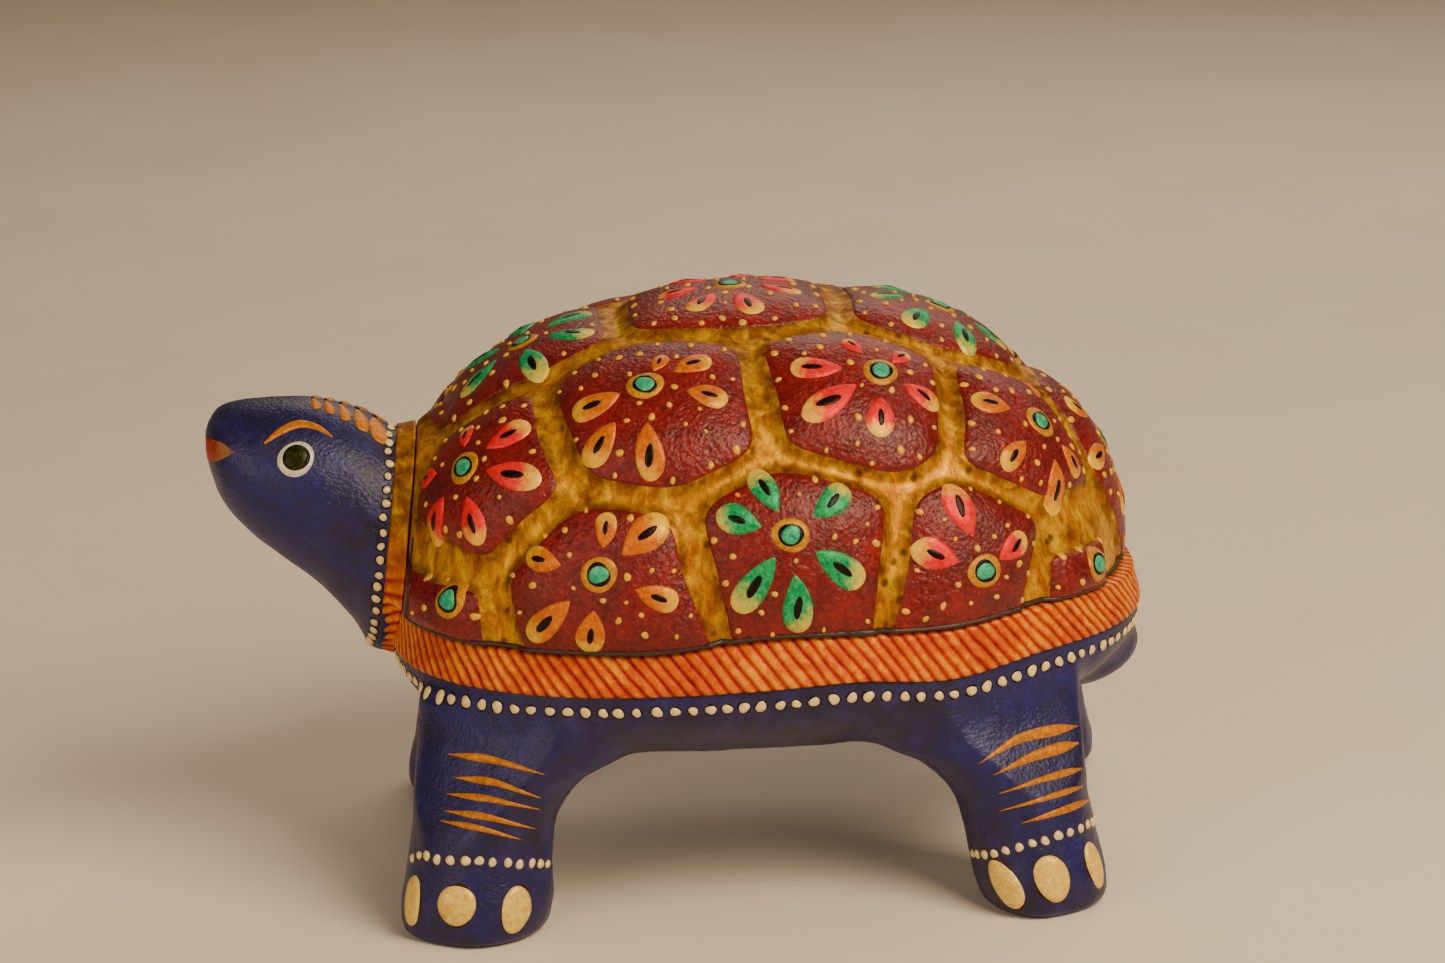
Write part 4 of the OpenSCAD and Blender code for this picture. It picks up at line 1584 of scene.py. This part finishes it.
# The painted face on the left side, as [x, y, z].
EYE = (11.8, -60.9, 71.5)
BROW = [[10.1, -65.8, 73.8], [9.1, -63.2, 75.6], [7.8, -60.2, 76.4], [8.1, -57.3, 75.7], [9.0, -55.0, 74.1]]
BROW_WIDTHS = [0.3, 1.2, 1.6, 1.1, 0.25]
MOUTH = [
    [2.2, -75.2, 73.8], [2.0, -75.3, 71.6], [2.4, -75.2, 69.6], [5.4, -74.4, 69.9],
    [8.4, -72.9, 71.0], [9.9, -70.0, 72.6], [7.4, -72.7, 73.9],
]
# Where each bar ends, as [x, y, z], and its width.
HEAD_BARS = [
    [3.2, -57.4, 77.7, 1.7],
    [3.9, -55.3, 77.2, 1.8],
    [4.6, -52.9, 76.4, 2.0],
    [5.4, -50.3, 75.3, 2.6],
    [6.0, -47.6, 74.0, 3.1],
]


def head_paint(surface, rng):
    """The eyes, brows, mouth and the bars on top of the head."""
    work = Brushwork(surface)
    for side in (1, -1):
        eye_chart = FlatChart([side * EYE[0], EYE[1], EYE[2]], (side, -0.28, 0.22), (0, side, 0))
        work.dab(eye_chart, blot(2.95, 2.85, rng, (0, 0), 0, 0.025, 32), 0.22, "white")
        pupil = (0.1 * side, 0.2)
        work.dab(eye_chart, blot(2.2, 2.15, rng, pupil, 0, 0.02, 28), 0.08, "navy", base=0.2)
        work.dab(eye_chart, blot(1.95, 1.9, rng, pupil, 0, 0.03, 24), 0.2, "olive", base=0.25)
        chart = neck_chart(side)
        work.stroke(chart, round_the_neck(BROW), BROW_WIDTHS, 0.25, "stripe")
        nose = FlatChart([side * 6.5, -74, 72], (side * 0.75, -0.65, 0.1), (0.65 * side, 0.75, 0))
        corners = np.array([[side * x, y, z] for x, y, z in MOUTH])
        outline = smooth_outline(nose.flat(corners), 40)
        work.dab(nose, outline, 0.14, "mouth", lambda flat: (flat[:, 0] + 4.0) / 9.5)
        for x, y, z, wide in HEAD_BARS:
            foot = round_the_neck([[x, y, z]])[0]
            crest = [0.6, y - 0.7]
            middle = [(foot[0] + crest[0]) / 2, y - 0.1]
            widths = [wide * 0.35, wide * 0.95, wide * 0.85]
            work.stroke(chart, [crest, middle, foot], widths, 0.24, "stripe")
            work.dab(chart, blot(wide * 0.42, wide * 0.42, rng, foot, 0, 0.05, 14), 0.25, "stripe")
    return work.piece("head_painting", "body", "gold_paint")


def smooth_outline(corners, count):
    """A closed outline through corners, slightly rounded."""
    closed = np.concatenate([corners, corners[:1]])
    gone = length_along(closed)
    return point_along(closed, gone, np.linspace(0, gone[-1], count, endpoint=False))


COLLAR_DOT_PITCH = 2.35
DOTS_AHEAD_OF_COLLAR = 1.5


def collar_dots(surface, rng):
    """The row of cream dots on the neck, just ahead of the collar."""
    work = Brushwork(surface)
    depth = -COLLAR_T - DOTS_AHEAD_OF_COLLAR
    t = np.linspace(0, 2 * math.pi, 2000)
    gone = length_along(collar_ring(t, depth, 0))
    for at in np.linspace(0, gone[-1], round(gone[-1] / COLLAR_DOT_PITCH), endpoint=False):
        angle = float(np.interp(at, gone, t))
        out = collar_ring(angle, depth, 1) - collar_ring(angle, depth, 0)
        chart = FlatChart(collar_ring(angle, depth, -0.6), out, (0, 1, 0))
        spot = rng.uniform(-0.25, 0.25, 2)
        size = rng.uniform(0.62, 0.8)
        # A slightly bigger navy disc under each dot: a painted shadow round its edge.
        work.dab(chart, blot(size * 1.35, size * 1.35, rng, spot, 0, 0.06, 12), 0.05, "navy")
        work.dab(chart, blot(size, size, rng, spot, 0, 0.08, 12), 0.3, "bone", base=0.05)
    return work.piece("collar_dots", "body", "gold_paint")


RIM_DOT_PITCH = 2.75
DOTS_BELOW_RIM = 1.7


def rim_dots(surface, rng):
    """The row of cream dots on the body, just under the rim."""
    work = Brushwork(surface)
    turns, lengths, whole = even_turns(TUB_HW, TUB_HL, 4000)
    count = round(whole / RIM_DOT_PITCH)
    for at in (np.arange(count) + 0.5) * whole / count + rng.uniform(-0.3, 0.3, count):
        t = float(np.interp(at, lengths, turns))
        place = rows(*oval_at(TUB_HW, TUB_HL, np.array([t, t + 0.01])), RIM_Z - DOTS_BELOW_RIM)
        along = unit(place[1] - place[0])
        out = np.array([along[1], -along[0], -0.25])
        place = settle(place)[0]
        under_neck = place[1] < COLLAR_Y - 3.2
        if under_neck:
            continue
        chart = FlatChart(place, out, along)
        size = rng.uniform(0.74, 0.98)
        # A slightly bigger navy disc under each dot: a painted shadow round its edge.
        work.dab(chart, blot(size * 1.25, size * 1.2, rng, (0, 0), 0, 0.06, 14), 0.05, "navy")
        work.dab(chart, blot(size, size * 0.94, rng, (0, 0), 0, 0.1, 14), 0.34, "bone", base=0.05)
    return work.piece("rim_dots", "body", "gold_paint")


# The middle of the plane that the stripes are given in.
STRIPES_X = 46.0
STRIPES_Z = 22.0
# Stripes as seen from the side and a little above: [along, up] in mm at three places, and their width.
FRONT_STRIPES = [
    [[-3.6, 9.3], [3.8, 8.3], [11.6, 6.0], 1.25], [[-2.6, 5.7], [4.2, 4.8], [10.8, 2.3], 1.15],
    [[-4.0, 3.2], [3.4, 2.3], [10.5, 0.5], 1.05], [[-4.3, 0.6], [3.1, -0.5], [9.7, -2.6], 1.1],
    [[-5.0, -0.9], [1.8, -2.2], [7.7, -4.2], 0.95],
]
REAR_STRIPES = [
    [[-9.5, 4.0], [-2.5, 7.6], [6.5, 8.8], 1.8], [[-7.3, 2.1], [-0.5, 4.7], [6.6, 6.2], 1.8],
    [[-6.5, -0.9], [0.5, 1.0], [6.9, 2.2], 1.15], [[-6.5, -3.7], [0.5, -2.0], [7.0, -0.6], 0.95],
    [[-3.1, -5.7], [2.0, -4.4], [8.2, -2.9], 1.2],
]
# A stripe's width at its two ends in mm, and between them as shares of its widest.
FRONT_SPREAD = [0.1, 1, 0.9, 0.5, 0.1]
REAR_SPREAD = [0.1, 0.55, 0.85, 1, 0.3]
BRACELET_PITCH = 2.5
# Bracelets as [angle round the leg, height]: angle 0 points out from the side and 90 to the tail.
FRONT_BRACELET = [[-75, 12.3], [-55, 14.0], [-5, 14.0], [20, 13.4], [44, 12.2], [75, 10.6]]
REAR_BRACELET = [[-70, 8.6], [-41, 10.0], [-6, 12.2], [20, 13.0], [50, 13.2], [85, 12.4]]
# A nail's two coats of paint: colour, how far it reaches past the nail, thickness and base.
NAIL_COATS = [["umber", 0.12, 0.1, 0.0], ["nail", 0.0, 0.32, 0.1]]
# Nails as [angle round the leg, height, width, length, turn in radians].
FRONT_NAILS = [[-63, 6.5, 4.8, 7.6, 0.1], [-19, 7.2, 6.5, 6.8, 0.0], [29, 5.9, 5.7, 7.2, -0.1]]
REAR_NAILS = [[-27, 5.6, 5.4, 8.8, 0.55], [12, 6.7, 6.4, 7.4, 0.2], [56, 6.9, 4.8, 7.4, 0.1]]


def leg_paint(side, rear, surface, rng):
    """A leg's golden stripes, its bracelet of cream dots and its three toenails."""
    foot, hip = foot_at(side, rear), hip_at(side, rear)

    def axis(z):
        """The middle of the leg at heights z."""
        return foot + (hip - foot) * (np.asarray(z) / RIM_Z)[:, None]

    chart = RoundChart(axis, (side, 0, 0), (0, 1, 0), FOOT_R, 21)
    work = Brushwork(surface)

    def place(angle, z):
        """The chart position of an angle round the leg and a height."""
        return [math.radians(angle) * FOOT_R, z]

    origin = [side * STRIPES_X, foot[1], STRIPES_Z]
    seen = FlatChart(origin, (side * 0.965, -0.06, 0.26), (0.06 * side, 1, 0), 22)
    for start, middle, end, wide in REAR_STRIPES if rear else FRONT_STRIPES:
        line = [start, middle, end]
        keyed = [start, flat_curve(line, 0.28), middle, flat_curve(line, 0.8), end]
        spread = np.array(REAR_SPREAD if rear else FRONT_SPREAD) * [1, wide, wide, wide, 1]
        work.stroke(seen, keyed, spread, 0.16, "stripe", 30)
    path = np.array([place(a, z) for a, z in (REAR_BRACELET if rear else FRONT_BRACELET)])
    gone = length_along(path)
    for at in np.arange(0.5, gone[-1], BRACELET_PITCH):
        spot = point_along(path, gone, at) + rng.uniform(-0.2, 0.2, 2)
        size = rng.uniform(0.68, 0.9)
        work.dab(chart, blot(size, size * 0.95, rng, spot, 0, 0.08, 12), 0.36, "bone")
    for angle, z, wide, tall, turn in REAR_NAILS if rear else FRONT_NAILS:
        for colour, margin, height, base in NAIL_COATS:
            spot, half, long = place(angle, z), wide / 2 + margin, tall / 2 + margin
            outline = blot(half, long, rng, spot, turn * side, 0.04, 40)
            work.dab(chart, outline, height, colour, crown=7.0, base=base)
    return work.piece(leg_name("leg_painting", side, rear), "body", "gold_paint")


# ---------------------------------------------------------------- assembly
def build_lid():
    """The lid's pieces. Gives back its surface, for the collar to meet."""
    rng = np.random.default_rng(11)
    shell = lid_shell()
    pads = [scute_pad(index, rng) for index in range(len(SEEDS))]
    surface = surface_of([shell] + pads)
    for index in range(len(SEEDS)):
        scute_flower(index, surface, rng)
    seam_line()
    return surface


def build_body(lid_tree):
    """The body's pieces and all that is painted on them."""
    rng = np.random.default_rng(23)
    skins = body_pieces()
    head_piece = head()
    rim_band()
    collar(lid_tree)
    body_surface = surface_of(skins)
    head_surface = surface_of([head_piece])
    head_paint(head_surface, rng)
    collar_dots(head_surface, rng)
    rim_dots(body_surface, rng)
    for side, rear in LEGS:
        leg_paint(side, rear, body_surface, rng)


def dress_hidden_parts():
    """Bare wood on the parts carried over from the CAD: the locating lip and the dowels."""
    for name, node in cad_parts.items():
        if name == "locating_lip" or "dowel" in name:
            node.data.materials.clear()
            node.data.materials.append(WOOD)


# ---------------------------------------------------------------- studio
def studio_floor():
    """A pale cream floor that runs out of sight."""
    s = Shader("studio_floor", 0.75)
    tint = s.ramp(s.clouds(60, 3.0), (0.3, paint(240, 226, 206)), (0.7, paint(246, 233, 214)))
    material = s.finish(tint)
    half, steps = 6000.0, 8
    axis = np.linspace(-half, half, steps + 1)
    points = rows(axis[None, :], axis[:, None], 0).reshape(-1, 3)
    mesh = mesh_from_mm("floor", points, grid_faces(steps + 1, steps + 1, False))
    mesh.materials.append(material)
    floor = add_object("floor", mesh)


LIT_PLACE = (0, 10, 45)
# Each lamp's place and size in mm, its watts and its colour.
SOFTBOXES = {
    "key": [(430, 360, 520), (420, 420), 6.0, (1.0, 0.83, 0.6)],
    "fill": [(560, -520, 330), (600, 500), 2.1, (1.0, 0.83, 0.62)],
    "back": [(-600, 250, 520), (700, 400), 1.8, (1.0, 0.86, 0.68)],
}


def softbox(name, place, size, watts, colour):
    """A rectangular lamp that faces the tortoise."""
    lamp = bpy.data.lights.new(name, "AREA")
    lamp.shape = "RECTANGLE"
    lamp.size, lamp.size_y = size[0] * MM, size[1] * MM
    lamp.energy = watts
    lamp.color = colour
    holder = add_object(name, lamp)
    holder.location = Vector(place) * MM
    holder.rotation_euler = (Vector(place) - Vector(LIT_PLACE)).to_track_quat("Z", "Y").to_euler()


def studio_light():
    """The softboxes, and a dim warm glow from all round."""
    for name, settings in SOFTBOXES.items():
        softbox(name, *settings)
    world = bpy.data.worlds.new("studio")
    world.use_nodes = True
    ground = world.node_tree.nodes["Background"]
    ground.inputs["Color"].default_value = (1.0, 0.8, 0.6, 1)
    ground.inputs["Strength"].default_value = 0.15
    bpy.context.scene.world = world


CAMERA_AZIMUTH = 86.5
CAMERA_ELEVATION = 15.0
CAMERA_ROLL = -1.8
CAMERA_DISTANCE = 750.0
CAMERA_AIM = Vector((0, 7.51, 61.37))
LENS = 114.96


def camera():
    """The photo's view: from the left side and a little above, with a slight roll."""
    azimuth, elevation = math.radians(CAMERA_AZIMUTH), math.radians(CAMERA_ELEVATION)
    roll = math.radians(CAMERA_ROLL)
    level = math.cos(elevation)
    back = Vector((math.sin(azimuth) * level, -math.cos(azimuth) * level, math.sin(elevation)))
    right = Vector((math.cos(azimuth), math.sin(azimuth), 0))
    up = back.cross(right)
    across = math.cos(roll) * right + math.sin(roll) * up
    upright = math.cos(roll) * up - math.sin(roll) * right
    lens = bpy.data.cameras.new("camera")
    lens.sensor_width = 36
    lens.lens = LENS
    lens.clip_start, lens.clip_end = 0.05, 20
    holder = add_object("camera", lens)
    turn = Matrix((across, upright, back)).transposed().to_4x4()
    holder.matrix_world = Matrix.Translation((CAMERA_AIM + back * CAMERA_DISTANCE) * MM) @ turn
    bpy.context.scene.camera = holder


camera()
studio_floor()
studio_light()
build_body(build_lid())
dress_hidden_parts()
